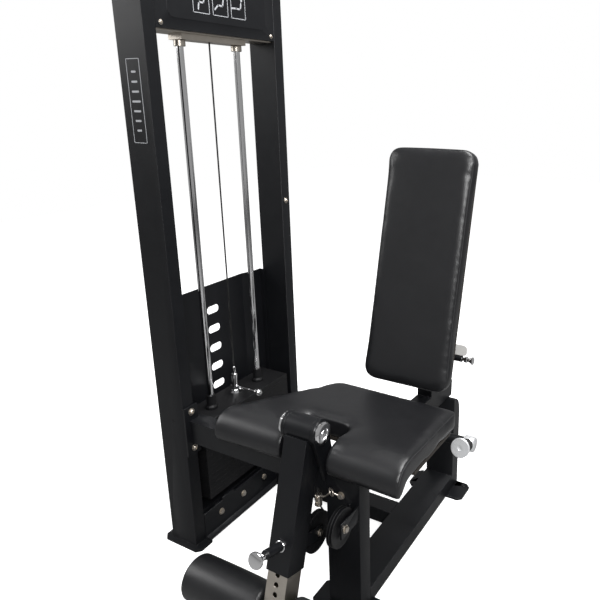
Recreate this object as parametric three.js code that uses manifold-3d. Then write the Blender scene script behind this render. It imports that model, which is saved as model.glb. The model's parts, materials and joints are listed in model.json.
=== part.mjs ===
// Leg extension machine with a side weight stack.
// Millimetres. +X points away from the weight tower, -Y is the way the user faces, +Z is up.
import * as THREE from 'three';
import { mergeVertices } from 'three/addons/utils/BufferGeometryUtils.js';
import Module from 'manifold-3d';

const wasm = await Module();
wasm.setup();

// ---------------------------------------------------------------- driving sizes
const GAP = 0.3;                 // clearance between touching pieces
const CENTRE = { x: 8, y: -32.32 };   // brings the middle of the footprint to the origin
const OVERCUT = 5;               // how far a cutter runs past the wall it cuts
const ROUND = 16;                // sides of a small round piece
const HOLE = 12;                 // sides of a drilled hole
const FINE = 28;                 // sides of a large round piece

// weight tower
const TOWER = { x: -371, y: 66 };            // middle of the weight stack
const POST = { wide: 100, deep: 40, wall: 3, spacing: 501, top: 1780 };
const FOOT = { thick: 8, chamfer: 14 };
const DRAIN = 6;                 // small hole that opens each closed tube
const TOWER_FOOT = { wide: 150, deep: 72 };
const HEAD_BEAM = { wide: 80, tall: 40 };
const ROD = { radius: 9.5, spacing: 222, bottom: 66, top: 1506 };
const ROD_BEAM = { wide: 80, tall: 40, bottom: 1508 };
const ROD_CHANNEL = { wide: 50, tall: 15, long: 250 };
const STACK_BASE = { wide: 80, tall: 40, bottom: 60 };
const ANGLE = { offset: 2, web: 6, bottom: 8, top: 94, lip: 21, lipThick: 4, tabStart: 30, tabLong: 52, tabTall: 10 };
const TIE = { wide: 40, tall: 20, inset: 40 };    // short blocks between the base beam and the angle
const BUMPER = { radius: 22, tall: 32 };

// weight stack
const PLATE = { wide: 112, long: 404, thick: 16, pitch: 16.4, bottom: 132.6 };
const SINGLE_PLATES = 6;
const LOWER_PLATES = 9;
const STEM = { radius: 9, hole: 11, tall: 74, flange: 20, flangeTall: 9, chamfer: 2 };
const ROD_HOLE = 11.5;
const BUSH = { outer: 15, inner: 10.2, tall: 46, collar: 19, collarTall: 8 };
const SELECTOR = { radius: 4, knob: 12, height: 27, reach: 98 };

// rear shroud, seen from above as half an outline on each side of its middle
const SHROUD = {
  x: -74, step: -60, end: -40, flat: 146, bend: 186, side: 226, sheet: 2, bottom: 101, top: 764,
};
const SLOT = { count: 5, long: 52, tall: 26, pitch: 66, first: 402 };

const PLACARD = { thick: 4, bottom: 1512, top: 1758 };
const PANEL = { side: 40, low: 28, high: 18, corner: 22 };   // raised middle of the placard

// cable and its pulleys
const CABLE = 2.4;
const TURN_STEPS = 9;
const WRAP_STEPS = 18;
const WRAP_ANGLE = 2.4;
const CLAMP = { wide: 12, tall: 26 };
const PULLEY = { rim: 31, groove: 26, wide: 12, pin: 5 };
const TOP_PULLEY = { rim: 50, groove: 45, z: 1640 };
const TOP_PIN = 15;
const HANGER = { plate: 5, gap: 2, reach: 30 };   // the two plates that hold the top pulleys
const POST_RUN = { x: -393, y: -176, z: 400 };
const DROP = { x: 128, z: 330 };
const CLAMP_Z = 316;

// seat frame
const SEAT_X = 213;              // middle of the seat posts
const BASE_TUBE = { wide: 100, deep: 50, wall: 3 };
const FRONT_POST_Y = -163;
const FRONT_POST_TOP = 433;
const REAR_POST_Y = 462;
const REAR_POST = { top: 356, shoulder: 290 };
const SEAT_FOOT = { wide: 204, deep: 96 };
const SEAT_BEAM = { deep: 50, tall: 70, wall: 3, bottom: 363 };
const BEAM_FLANGE = { thick: 6, deep: 50, bottom: 322, top: 478 };
const BASE_BAR = { y: 191, deep: 62, tall: 50, wall: 3 };

// lever and its pivot
const PIVOT = new THREE.Vector3(114, -206, 542);
const LEVER_TILT = THREE.MathUtils.degToRad(16.8);
const BARREL = { outer: 34, bore: 23.5, half: 39 };
const YOKE = { thick: 10, radius: 34.5, toe: 2, bottom: 392, rear: -150 };
const PIVOT_CAP = { radius: 28.5, thick: 12 };
const SHAFT = 12.5;
const LEVER = { width: 68, wall: 3.6, bottom: -362 };
const LEVER_PULLEY = { x: 14, y: 101, z: -295, rim: 56.5, groove: 50, wide: 14 };
const LEVER_BRACKET = { thick: 4, tall: 36, gap: 2, tail: 14 };
const LEVER_PIN = { z: -292, ring: 15, ringTall: 6, body: 12, bodyLong: 60, seat: 2.4, stroke: 10 };
const PIN_KNOB = { shaft: 6, neck: 7, neckEnd: 84, radius: 20.5, thick: 8, end: 99 };
const SHIN = { width: 60, wall: 3, top: -190, bottom: -514 };
const SHIN_HOLE = { radius: 7, first: -292, pitch: -25, count: 6 };
const ROLLER = { z: -484, radius: 62, inner: 38, outer: 283, bore: 17, axle: 16.5, cap: 26, capThick: 4 };

// two grooves side by side, the floor of each running between two distances from the middle
const FRAME_PULLEY = { x: 244, y: -251, z: 327, rim: 50, groove: 43, wide: 16, lip: 1.2, floor: [3, 4.8] };
const FRAME_BRACKET = { thick: 5, tall: 44, front: 16, leftGap: 7, rightGap: 2 };

// seat
const SEAT = { rearY: 140, frontY: -230, rearLeft: -4, rearRight: 398, frontLeft: -183, frontRight: 404 };
const SEAT_TOP = 516;
const SEAT_TILT = THREE.MathUtils.degToRad(3.4);
const SEAT_TILT_Y = -150;
const CUSHION = { thick: 55, nose: 90 };
const NOTCH = { left: 43, right: 186, rear: -100, corner: 26 };
const BOARD = { thick: 12, inset: 14, frontY: -128 };

// handles
const HANDLE = { y: 217, z: 350, radius: 16, left: -19, right: 419, saddle: 20.2 };
const HANDLE_TILT = THREE.MathUtils.degToRad(19.8);
const HANDLE_HUB = { radius: 23, long: 34 };
const GRIP = { radius: 18, core: 10, end: -78, cap: 28, capThick: 8 };

// back rest
const RECLINE = THREE.MathUtils.degToRad(14.4);
const BACK = { x: 213, y: 140.5, z: 523, width: 282, tall: 710, thick: 46, corner: 42 };
const BACK_BOARD = { thick: 12, inset: 12 };
const UPRIGHT = { wide: 50, deep: 90, wall: 3, y: 345 };
const RAIL = { tall: 56, front: -129, rear: 478 };
const SLEEVE = { wide: 56, wall: 3.7, z: 568, front: 262, rear: 392 };
const SLIDE = { width: 48, wall: 3, front: 190, rear: 452 };
const SLIDE_HOLE = { radius: 6, first: 290, pitch: 30, count: 4 };
const BACK_PLATE = { half: 60, low: 30, high: 152, thick: 7 };
const BACK_PIN = { y: 320, body: 10, bodyEnd: 330, shaft: 5.4, neckEnd: 353, knob: 12, end: 366, stroke: 8 };
const INDEX_PLATE = { right: 345, y: 320, thick: 4, low: 579, high: 614, corner: 12 };

// ---------------------------------------------------------------- materials
function paint(color, roughness, metalness) {
  return () => new THREE.MeshStandardMaterial({ color, roughness, metalness });
}
const blackPaint = paint(0x1b1c1f, 0.45, 0.3);
const zinc = paint(0xb9b6ae, 0.4, 0.9);
const chrome = paint(0xdadada, 0.12, 1.0);
const blackIron = paint(0x18191a, 0.6, 0.2);
const vinyl = paint(0x141518, 0.5, 0.0);
const rubber = paint(0x101010, 0.85, 0.0);
const plastic = paint(0x161616, 0.5, 0.0);
const plywood = paint(0x1d1a17, 0.8, 0.0);
const cableSkin = paint(0x0c0c0c, 0.4, 0.0);
const alloy = paint(0xc8c9cb, 0.25, 1.0);

// ---------------------------------------------------------------- solids
// triangles left without area where a profile meets its axis are dropped
function wholeTriangles(index) {
  const kept = [];
  for (let i = 0; i < index.length; i += 3) {
    const [a, b, c] = index.slice(i, i + 3);
    if (a !== b && b !== c && c !== a) {
      kept.push(a, b, c);
    }
  }
  return kept;
}

function solid(geometry) {
  const bare = geometry.index ? geometry.toNonIndexed() : geometry;
  bare.deleteAttribute('normal');
  bare.deleteAttribute('uv');
  const merged = mergeVertices(bare, 1e-4);
  const vertProperties = new Float32Array(merged.attributes.position.array);
  const triVerts = new Uint32Array(wholeTriangles(Array.from(merged.index.array)));
  return new wasm.Manifold(new wasm.Mesh({ numProp: 3, vertProperties, triVerts }));
}

function node(name, body, material, parent) {
  const cut = body.getMesh();
  const geometry = new THREE.BufferGeometry();
  geometry.setAttribute('position', new THREE.BufferAttribute(new Float32Array(cut.vertProperties), 3));
  geometry.setIndex(new THREE.BufferAttribute(new Uint32Array(cut.triVerts), 1));
  geometry.computeVertexNormals();
  const mesh = new THREE.Mesh(geometry, material());
  mesh.name = name;
  parent.add(mesh);
  return mesh;
}

// a block between two corners
function block([x0, y0, z0], [x1, y1, z1]) {
  const geometry = new THREE.BoxGeometry(x1 - x0, y1 - y0, z1 - z0);
  geometry.translate((x0 + x1) / 2, (y0 + y1) / 2, (z0 + z1) / 2);
  return solid(geometry);
}

// a block given by its middle and size
function blockAt([x, y, z], [wide, deep, tall]) {
  return block([x - wide / 2, y - deep / 2, z - tall / 2], [x + wide / 2, y + deep / 2, z + tall / 2]);
}

const AXIS_TURN = {
  x: new THREE.Matrix4().makeRotationZ(-Math.PI / 2),
  y: new THREE.Matrix4(),
  z: new THREE.Matrix4().makeRotationX(Math.PI / 2),
};

// a straight round bar along an axis, centred on (x, y, z)
function bar(axis, radius, long, [x, y, z], sides = ROUND) {
  const geometry = new THREE.CylinderGeometry(radius, radius, long, sides);
  geometry.applyMatrix4(AXIS_TURN[axis]);
  geometry.translate(x, y, z);
  return solid(geometry);
}

// a turned piece: profile of [radius, distance along the axis] points, run in either direction
function turned(axis, profile, [x, y, z], sides = ROUND) {
  const points = profile.map(([radius, along]) => new THREE.Vector2(radius, along));
  if (THREE.ShapeUtils.area(points) < 0) {
    points.reverse();
  }
  const geometry = new THREE.LatheGeometry(points, sides);
  geometry.applyMatrix4(AXIS_TURN[axis]);
  geometry.translate(x, y, z);
  return solid(geometry);
}

const Y_TO_X = new THREE.Matrix4().makeBasis(
  new THREE.Vector3(0, 1, 0), new THREE.Vector3(0, 0, 1), new THREE.Vector3(1, 0, 0));
const Z_TO_Y = new THREE.Matrix4().makeBasis(
  new THREE.Vector3(1, 0, 0), new THREE.Vector3(0, 0, 1), new THREE.Vector3(0, -1, 0));

function extruded(shape, depth) {
  return new THREE.ExtrudeGeometry(shape, { depth, bevelEnabled: false, curveSegments: 4 });
}

// an outline in (y, z) swept from x0 to x1
function sweptX(shape, x0, x1) {
  const geometry = extruded(shape, x1 - x0);
  geometry.applyMatrix4(Y_TO_X);
  geometry.translate(x0, 0, 0);
  return solid(geometry);
}

// an outline in (x, z) swept from y0 to y1
function sweptY(shape, y0, y1) {
  const geometry = extruded(shape, y1 - y0);
  geometry.applyMatrix4(Z_TO_Y);
  geometry.translate(0, y1, 0);
  return solid(geometry);
}

// an outline in (x, y) swept from z0 to z1
function sweptZ(shape, z0, z1) {
  const geometry = extruded(shape, z1 - z0);
  geometry.translate(0, 0, z0);
  return solid(geometry);
}

function outline(points) {
  return new THREE.Shape(points.map(([u, v]) => new THREE.Vector2(u, v)));
}

// a rectangle with rounded corners
function roundedRect(u0, v0, u1, v1, r) {
  const shape = new THREE.Shape();
  shape.moveTo(u0 + r, v0);
  shape.lineTo(u1 - r, v0);
  shape.absarc(u1 - r, v0 + r, r, -Math.PI / 2, 0);
  shape.lineTo(u1, v1 - r);
  shape.absarc(u1 - r, v1 - r, r, 0, Math.PI / 2);
  shape.lineTo(u0 + r, v1);
  shape.absarc(u0 + r, v1 - r, r, Math.PI / 2, Math.PI);
  shape.lineTo(u0, v0 + r);
  shape.absarc(u0 + r, v0 + r, r, Math.PI, 1.5 * Math.PI);
  return shape;
}

// an upright or lying rectangular tube, open along its length
function tubeZ([x, y], wide, deep, wall, z0, z1) {
  const outer = block([x - wide / 2, y - deep / 2, z0], [x + wide / 2, y + deep / 2, z1]);
  const inner = block([x - wide / 2 + wall, y - deep / 2 + wall, z0 - OVERCUT],
    [x + wide / 2 - wall, y + deep / 2 - wall, z1 + OVERCUT]);
  return outer.subtract(inner);
}

function tubeX([y, z], deep, tall, wall, x0, x1) {
  const outer = block([x0, y - deep / 2, z - tall / 2], [x1, y + deep / 2, z + tall / 2]);
  const inner = block([x0 - OVERCUT, y - deep / 2 + wall, z - tall / 2 + wall],
    [x1 + OVERCUT, y + deep / 2 - wall, z + tall / 2 - wall]);
  return outer.subtract(inner);
}

function tubeY([x, z], wide, tall, wall, y0, y1) {
  const outer = block([x - wide / 2, y0, z - tall / 2], [x + wide / 2, y1, z + tall / 2]);
  const inner = block([x - wide / 2 + wall, y0 - OVERCUT, z - tall / 2 + wall],
    [x + wide / 2 - wall, y1 + OVERCUT, z + tall / 2 - wall]);
  return outer.subtract(inner);
}

// a foot plate with chamfered corners, standing on the floor
function footPlate([x, y], wide, deep) {
  const [w, d, c] = [wide / 2, deep / 2, FOOT.chamfer];
  const shape = outline([[x - w + c, y - d], [x + w - c, y - d], [x + w, y - d + c], [x + w, y + d - c],
    [x + w - c, y + d], [x - w + c, y + d], [x - w, y + d - c], [x - w, y - d + c]]);
  return sweptZ(shape, 0, FOOT.thick);
}

// a grooved pulley with its pin, turning about an axis through (x, y, z)
function pulley(axis, { rim, groove, wide }, [pinStart, pinEnd], at) {
  const w = wide / 2;
  const lip = wide / 6;
  const profile = [[0, pinStart], [PULLEY.pin, pinStart], [PULLEY.pin, -w], [rim, -w],
    [rim, -w + lip], [groove, -lip], [groove, lip], [rim, w - lip],
    [rim, w], [PULLEY.pin, w], [PULLEY.pin, pinEnd], [0, pinEnd]];
  return turned(axis, profile, at, FINE);
}

// a route of straights and turns; every piece gets its own number of steps
class Route extends THREE.Curve {
  constructor(pieces) {
    super();
    this.pieces = pieces;
    this.total = pieces.reduce((sum, [, steps]) => sum + steps, 0);
  }

  getPoint(t) {
    let at = t * this.total;
    let last = 0;
    while (last < this.pieces.length - 1 && at > this.pieces[last][1]) {
      at -= this.pieces[last][1];
      last += 1;
    }
    const [curve, steps] = this.pieces[last];
    return curve.getPoint(at / steps);
  }

  getPointAt(u) {
    return this.getPoint(u);
  }

  getTangentAt(u) {
    return this.getTangent(u);
  }
}

function cableAlong(pieces) {
  const route = new Route(pieces);
  const section = new THREE.Shape();
  section.absarc(0, 0, CABLE, 0, 2 * Math.PI);
  return solid(new THREE.ExtrudeGeometry(section, {
    steps: route.total, extrudePath: route, bevelEnabled: false, curveSegments: 4,
  }));
}

function point(x, y, z) {
  return new THREE.Vector3(x, y, z);
}

// ---------------------------------------------------------------- weight tower
const frontPostY = TOWER.y - POST.spacing / 2;
const rearPostY = TOWER.y + POST.spacing / 2;
const postFace = TOWER.x + POST.wide / 2;
const innerFront = frontPostY + POST.deep / 2 + GAP;
const innerRear = rearPostY - POST.deep / 2 - GAP;
const topReach = TOP_PULLEY.groove + CABLE + GAP;
const smallReach = PULLEY.groove + CABLE + GAP;

function towerPost(y) {
  const tube = tubeZ([TOWER.x, y], POST.wide, POST.deep, POST.wall, FOOT.thick, POST.top);
  const cap = blockAt([TOWER.x, y, POST.top - POST.wall / 2], [POST.wide, POST.deep, POST.wall]);
  const foot = footPlate([TOWER.x, y], TOWER_FOOT.wide, TOWER_FOOT.deep);
  return tube.add(cap).add(foot).subtract(bar('z', DRAIN, FOOT.thick * 4, [TOWER.x, y, 0]));
}

function buildPosts(tower) {
  const entry = blockAt([TOWER.x, frontPostY + POST.deep / 2, TOP_PULLEY.z],
    [PULLEY.wide * 2, POST.wall * 4, TOP_PULLEY.rim * 2 + OVERCUT * 2]);
  const exit = bar('x', CABLE * 3, POST.wall * 4, [postFace, POST_RUN.y, POST_RUN.z]);
  const [pinX, , pinZ] = postPulleyPlace();
  const pin = bar('y', PULLEY.pin + GAP, POST.deep * 2, [pinX, frontPostY, pinZ]);
  const post = towerPost(frontPostY).subtract(entry).subtract(exit).subtract(pin);
  node('tower_front_post', post, blackPaint, tower);
  node('tower_rear_post', towerPost(rearPostY), blackPaint, tower);
}

function buildTowerBeams(tower) {
  const headZ = POST.top - HEAD_BEAM.tall / 2;
  const head = tubeY([TOWER.x, headZ], HEAD_BEAM.wide, HEAD_BEAM.tall, POST.wall, innerFront, innerRear);
  node('tower_head_beam', head, blackPaint, tower);

  const beamZ = ROD_BEAM.bottom + ROD_BEAM.tall / 2;
  let beam = tubeY([TOWER.x, beamZ], ROD_BEAM.wide, ROD_BEAM.tall, POST.wall, innerFront, innerRear);
  const channelZ = ROD_BEAM.bottom - ROD_CHANNEL.tall / 2;
  beam = beam.add(blockAt([TOWER.x, TOWER.y, channelZ],
    [ROD_CHANNEL.wide, ROD_CHANNEL.long, ROD_CHANNEL.tall]));
  beam = beam.add(pulleyHanger());
  const cableHole = bar('z', CABLE * 4, ROD_BEAM.tall * 4, [TOWER.x, TOWER.y, beamZ]);
  beam = beam.subtract(cableHole);
  rodPlaces().forEach((y) => {
    const socketZ = (ROD_BEAM.bottom + ROD.bottom) / 2;
    beam = beam.subtract(bar('z', ROD.radius + GAP, ROD_BEAM.bottom - ROD.bottom, [TOWER.x, y, socketZ]));
  });
  node('rod_beam', beam, zinc, tower);
}

function rodPlaces() {
  return [TOWER.y - ROD.spacing / 2, TOWER.y + ROD.spacing / 2];
}

function topPulleyPlaces() {
  return [POST_RUN.y + topReach, TOWER.y - topReach];
}

function postPulleyPlace() {
  return [POST_RUN.x + smallReach, POST_RUN.y, POST_RUN.z + smallReach];
}

function beamPulleyPlace() {
  return [DROP.x - smallReach, POST_RUN.y, POST_RUN.z - smallReach];
}

// two side plates that stand on the rod beam and carry the top pulleys
function pulleyHanger() {
  const [yA, yB] = topPulleyPlaces();
  const plate = HANGER.plate;
  const half = PULLEY.wide / 2 + HANGER.gap;
  const low = ROD_BEAM.bottom + ROD_BEAM.tall - GAP;
  const high = TOP_PULLEY.z + HANGER.reach;
  const near = Math.max(innerFront, yA - HANGER.reach);
  const far = yB + HANGER.reach;
  const right = block([TOWER.x + half, near, low], [TOWER.x + half + plate, far, high]);
  const left = block([TOWER.x - half - plate, near, low], [TOWER.x - half, far, high]);
  let hanger = right.add(left);
  [yA, yB].forEach((y) => {
    hanger = hanger.subtract(bar('x', PULLEY.pin + GAP, POST.wide, [TOWER.x, y, TOP_PULLEY.z]));
  });
  return hanger;
}

function buildTopPulleys(tower) {
  const size = { rim: TOP_PULLEY.rim, groove: TOP_PULLEY.groove, wide: PULLEY.wide };
  topPulleyPlaces().forEach((y, i) => {
    const name = ['top_pulley_front', 'top_pulley_rear'][i];
    node(name, pulley('x', size, [-TOP_PIN, TOP_PIN], [TOWER.x, y, TOP_PULLEY.z]), plastic, tower);
  });
  const pinEnds = [frontPostY - POST.deep / 2 - POST_RUN.y, frontPostY + POST.deep / 2 - POST_RUN.y];
  node('post_pulley', pulley('y', PULLEY, pinEnds, postPulleyPlace()), plastic, tower);
}

function buildTowerBase(tower) {
  const beamZ = STACK_BASE.bottom + STACK_BASE.tall / 2;
  let base = tubeY([TOWER.x, beamZ], STACK_BASE.wide, STACK_BASE.tall, POST.wall, innerFront, innerRear);
  rodPlaces().forEach((y) => {
    base = base.subtract(bar('z', ROD.radius + GAP, STACK_BASE.tall, [TOWER.x, y, beamZ + POST.wall * 3]));
  });
  const webOuter = postFace + ANGLE.offset;
  const web = block([webOuter - ANGLE.web, innerFront, ANGLE.bottom], [webOuter, innerRear, ANGLE.top]);
  const lip = block([webOuter - 1, innerFront, ANGLE.bottom],
    [webOuter + ANGLE.lip, innerRear, ANGLE.bottom + ANGLE.lipThick]);
  const tabY = innerFront + ANGLE.tabStart + ANGLE.tabLong;
  const tab = block([webOuter - ANGLE.web, tabY, ANGLE.top - 1],
    [webOuter, tabY + ANGLE.tabLong, ANGLE.top + ANGLE.tabTall]);
  const tieY = [TOWER.y - ROD.spacing / 2 - TIE.inset, TOWER.y + ROD.spacing / 2 + TIE.inset];
  let angle = web.add(lip).add(tab);
  tieY.forEach((y) => {
    angle = angle.add(block([TOWER.x + STACK_BASE.wide / 2 - 1, y - TIE.wide / 2, beamZ - TIE.tall / 2],
      [webOuter - 1, y + TIE.wide / 2, beamZ + TIE.tall / 2]));
  });
  node('tower_base', base.add(angle), blackPaint, tower);
}

function buildRods(tower) {
  rodPlaces().forEach((y, i) => {
    const name = ['front_guide_rod', 'rear_guide_rod'][i];
    const middle = (ROD.top + ROD.bottom) / 2;
    node(name, bar('z', ROD.radius, ROD.top - ROD.bottom, [TOWER.x, y, middle]), chrome, tower);
    const low = STACK_BASE.bottom + STACK_BASE.tall + GAP;
    const cushion = bar('z', BUMPER.radius, BUMPER.tall, [TOWER.x, y, low + BUMPER.tall / 2])
      .subtract(bar('z', ROD.radius + 1, BUMPER.tall * 2, [TOWER.x, y, low]));
    node(['front_bumper', 'rear_bumper'][i], cushion, rubber, tower);
  });
}

// ---------------------------------------------------------------- weight stack
function plateBody(z, stemHole) {
  let plate = blockAt([TOWER.x, TOWER.y, z + PLATE.thick / 2], [PLATE.wide, PLATE.long, PLATE.thick]);
  rodPlaces().forEach((y) => {
    plate = plate.subtract(bar('z', ROD_HOLE, PLATE.thick * 2, [TOWER.x, y, z + PLATE.thick / 2], HOLE));
  });
  if (stemHole) {
    const middle = [TOWER.x, TOWER.y, z + PLATE.thick / 2];
    plate = plate.subtract(bar('z', STEM.hole, PLATE.thick * 2, middle, HOLE));
  }
  return plate;
}

// the lowest plates are one block with a groove between each two
function lowerPlates() {
  let block7 = plateBody(PLATE.bottom, true);
  for (let i = 1; i < LOWER_PLATES; i += 1) {
    const z = PLATE.bottom + i * PLATE.pitch;
    const core = blockAt([TOWER.x, TOWER.y, z - PLATE.pitch / 2 + PLATE.thick / 2],
      [PLATE.wide - 6, PLATE.long - 6, PLATE.pitch]);
    let bridge = core;
    [...rodPlaces(), TOWER.y].forEach((y) => {
      bridge = bridge.subtract(bar('z', ROD_HOLE, PLATE.pitch * 3, [TOWER.x, y, z], HOLE));
    });
    block7 = block7.add(bridge).add(plateBody(z, true));
  }
  return block7;
}

const topPlateZ = PLATE.bottom + (SINGLE_PLATES + LOWER_PLATES) * PLATE.pitch;
const topPlateTop = topPlateZ + PLATE.thick;

function buildStack(tower) {
  node('weight_plates_lower', lowerPlates(), blackIron, tower);
  for (let i = 0; i < SINGLE_PLATES; i += 1) {
    const z = topPlateZ - (i + 1) * PLATE.pitch;
    node(`weight_plate_${i + 1}`, plateBody(z, true), blackIron, tower);
  }
  let top = plateBody(topPlateZ, true);
  rodPlaces().forEach((y) => {
    top = top.subtract(bar('z', BUSH.outer + GAP, PLATE.thick * 2, [TOWER.x, y, topPlateTop]));
  });
  node('top_plate', top, blackIron, tower);

  rodPlaces().forEach((y, i) => {
    const low = topPlateZ + GAP;
    const high = topPlateTop + BUSH.tall;
    const collarLow = topPlateTop + GAP;
    const profile = [[BUSH.inner, low], [BUSH.outer, low], [BUSH.outer, collarLow], [BUSH.collar, collarLow],
      [BUSH.collar, collarLow + BUSH.collarTall], [BUSH.outer, collarLow + BUSH.collarTall + 6],
      [BUSH.outer - 1, high], [BUSH.inner, high], [BUSH.inner, low]];
    const name = ['front_rod_bushing', 'rear_rod_bushing'][i];
    node(name, turned('z', profile, [TOWER.x, y, 0]), plastic, tower);
  });
}

function buildSelector(tower) {
  const low = PLATE.bottom + PLATE.pitch;
  const flangeZ = topPlateTop + GAP;
  const top = flangeZ + STEM.tall;
  const profile = [[0, low], [STEM.radius, low], [STEM.radius, flangeZ], [STEM.flange, flangeZ],
    [STEM.flange, flangeZ + STEM.flangeTall], [STEM.radius, flangeZ + STEM.flangeTall],
    [STEM.radius, top - STEM.chamfer], [STEM.radius - STEM.chamfer, top], [0, top]];
  let stem = turned('z', profile, [TOWER.x, TOWER.y, 0]);
  for (let i = 0; i < SINGLE_PLATES + LOWER_PLATES - 1; i += 1) {
    const z = topPlateZ - (i + 1) * PLATE.pitch + PLATE.thick / 2;
    stem = stem.subtract(bar('x', SELECTOR.radius + 1, STEM.radius * 4, [TOWER.x, TOWER.y, z], 6));
  }
  const parkZ = topPlateTop + SELECTOR.height;
  stem = stem.subtract(bar('x', SELECTOR.radius + GAP, STEM.radius * 4, [TOWER.x, TOWER.y, parkZ], HOLE));
  node('selector_stem', stem, chrome, tower);

  const tail = -STEM.radius - 8;
  const knob = SELECTOR.reach;
  const r = SELECTOR.knob;
  const ball = [];
  for (let i = 0; i <= 8; i += 1) {
    const angle = -0.82 * Math.PI / 2 + (i / 8) * (0.82 * Math.PI / 2 + Math.PI / 2);
    ball.push([r * Math.cos(angle), knob + r * Math.sin(angle)]);
  }
  ball[ball.length - 1][0] = 0;
  const pin = [[0, tail], [SELECTOR.radius - 1, tail], [SELECTOR.radius, tail + 2],
    [SELECTOR.radius, knob - r * 0.96], ...ball];
  node('selector_pin', turned('x', pin, [TOWER.x, TOWER.y, parkZ], 20), chrome, tower);
}

// ---------------------------------------------------------------- covers
function buildShroud(tower) {
  const half = [[SHROUD.x, SHROUD.flat], [SHROUD.step, SHROUD.bend], [SHROUD.step, SHROUD.side],
    [SHROUD.end, SHROUD.side]];
  const shiftX = ([x, y]) => [TOWER.x + x, TOWER.y + y];
  const s = SHROUD.sheet;
  const outer = [...half.map(([x, y]) => [x, y]).reverse(), ...half.map(([x, y]) => [x, -y])];
  const inner = [[SHROUD.end, -SHROUD.side + s], [SHROUD.step + s, -SHROUD.side + s],
    [SHROUD.step + s, -SHROUD.bend + s * 0.5], [SHROUD.x + s, -SHROUD.flat + s * 0.5],
    [SHROUD.x + s, SHROUD.flat - s * 0.5], [SHROUD.step + s, SHROUD.bend - s * 0.5],
    [SHROUD.step + s, SHROUD.side - s], [SHROUD.end, SHROUD.side - s]];
  let shell = sweptZ(outline([...outer, ...inner].map(shiftX)), SHROUD.bottom, SHROUD.top);
  for (let i = 0; i < SLOT.count; i += 1) {
    const z = SLOT.first + i * SLOT.pitch;
    const half = SLOT.long / 2;
    const slot = roundedRect(TOWER.y - half, z, TOWER.y + half, z + SLOT.tall, SLOT.tall / 2 - 1);
    shell = shell.subtract(sweptX(slot, TOWER.x + SHROUD.x - OVERCUT, TOWER.x + SHROUD.x + OVERCUT));
  }
  node('stack_shroud', shell, blackPaint, tower);
}

function buildPlacard(tower) {
  const plate = block([postFace - PLACARD.thick, innerFront, PLACARD.bottom],
    [postFace, innerRear, PLACARD.top]);
  const p = PANEL;
  const raised = roundedRect(innerFront + p.side, PLACARD.bottom + p.low, innerRear - p.side,
    PLACARD.top - p.high, p.corner);
  const panel = sweptX(raised, postFace - 1, postFace + 1);
  node('placard', plate.add(panel), blackPaint, tower);
}

// ---------------------------------------------------------------- cables
// quarter turn of radius r about a centre, from one direction to another (both unit vectors)
function turn(centre, from, to, r) {
  const start = centre.clone().addScaledVector(from, r);
  const end = centre.clone().addScaledVector(to, r);
  const k = 4 / 3 * Math.tan(Math.PI / 8) * r;
  return new THREE.CubicBezierCurve3(start, start.clone().addScaledVector(to, k),
    end.clone().addScaledVector(from, k), end);
}

function straight(from, to) {
  return new THREE.LineCurve3(from, to);
}

function buildCables(root) {
  const [yA, yB] = topPulleyPlaces();
  const stemTop = topPlateTop + GAP + STEM.tall;
  const drop = cableAlong([[straight(point(TOWER.x, TOWER.y, stemTop + GAP),
    point(TOWER.x, TOWER.y, TOP_PULLEY.z - GAP)), 1]]);
  node('drop_cable', drop, cableSkin, root);

  const up = point(0, 0, 1);
  const down = point(0, 0, -1);
  const right = point(1, 0, 0);
  const left = point(-1, 0, 0);
  const rearward = point(0, 1, 0);
  const forward = point(0, -1, 0);
  const overRear = turn(point(TOWER.x, yB, TOP_PULLEY.z), rearward, up, topReach);
  const overFront = turn(point(TOWER.x, yA, TOP_PULLEY.z), up, forward, topReach);
  const intoBeam = turn(point(...postPulleyPlace()), left, down, smallReach);
  const outOfBeam = turn(point(...beamPulleyPlace()), up, right, smallReach);
  const end = point(DROP.x, POST_RUN.y, DROP.z);
  const run = cableAlong([[overRear, TURN_STEPS], [straight(overRear.v3, overFront.v0), 1],
    [overFront, TURN_STEPS], [straight(overFront.v3, intoBeam.v0), 1], [intoBeam, TURN_STEPS],
    [straight(intoBeam.v3, outOfBeam.v0), 1], [outOfBeam, TURN_STEPS], [straight(outOfBeam.v3, end), 1]]);
  node('cable_run', run, cableSkin, root);
}

// the lower cable: a clamp on the end of the long run, then round the pulley on the lever
function buildLeverCable(root) {
  const local = point(LEVER_PULLEY.x, LEVER_PULLEY.y, LEVER_PULLEY.z);
  const centre = local.applyAxisAngle(point(1, 0, 0), -LEVER_TILT).add(PIVOT);
  const r = LEVER_PULLEY.groove + CABLE + GAP;
  const top = point(centre.x, POST_RUN.y, CLAMP_Z - CLAMP.tall / 2);
  const toTop = new THREE.Vector2(top.y - centre.y, top.z - centre.z);
  const touch = toTop.angle() - Math.acos(r / toTop.length());
  const wrap = new THREE.CatmullRomCurve3(wrapPoints(centre, r, touch));
  const cable = cableAlong([[straight(top, wrap.points[0]), 1], [wrap, WRAP_STEPS]]);
  const clamp = blockAt([top.x, top.y, CLAMP_Z], [CLAMP.wide, CLAMP.wide, CLAMP.tall]);
  node('lever_cable', cable.add(clamp), cableSkin, root);
}

function wrapPoints(centre, r, touch) {
  const points = [];
  for (let i = 0; i <= WRAP_STEPS; i += 1) {
    const angle = touch - WRAP_ANGLE * i / WRAP_STEPS;
    points.push(point(centre.x, centre.y + r * Math.cos(angle), centre.z + r * Math.sin(angle)));
  }
  return points;
}

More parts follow.
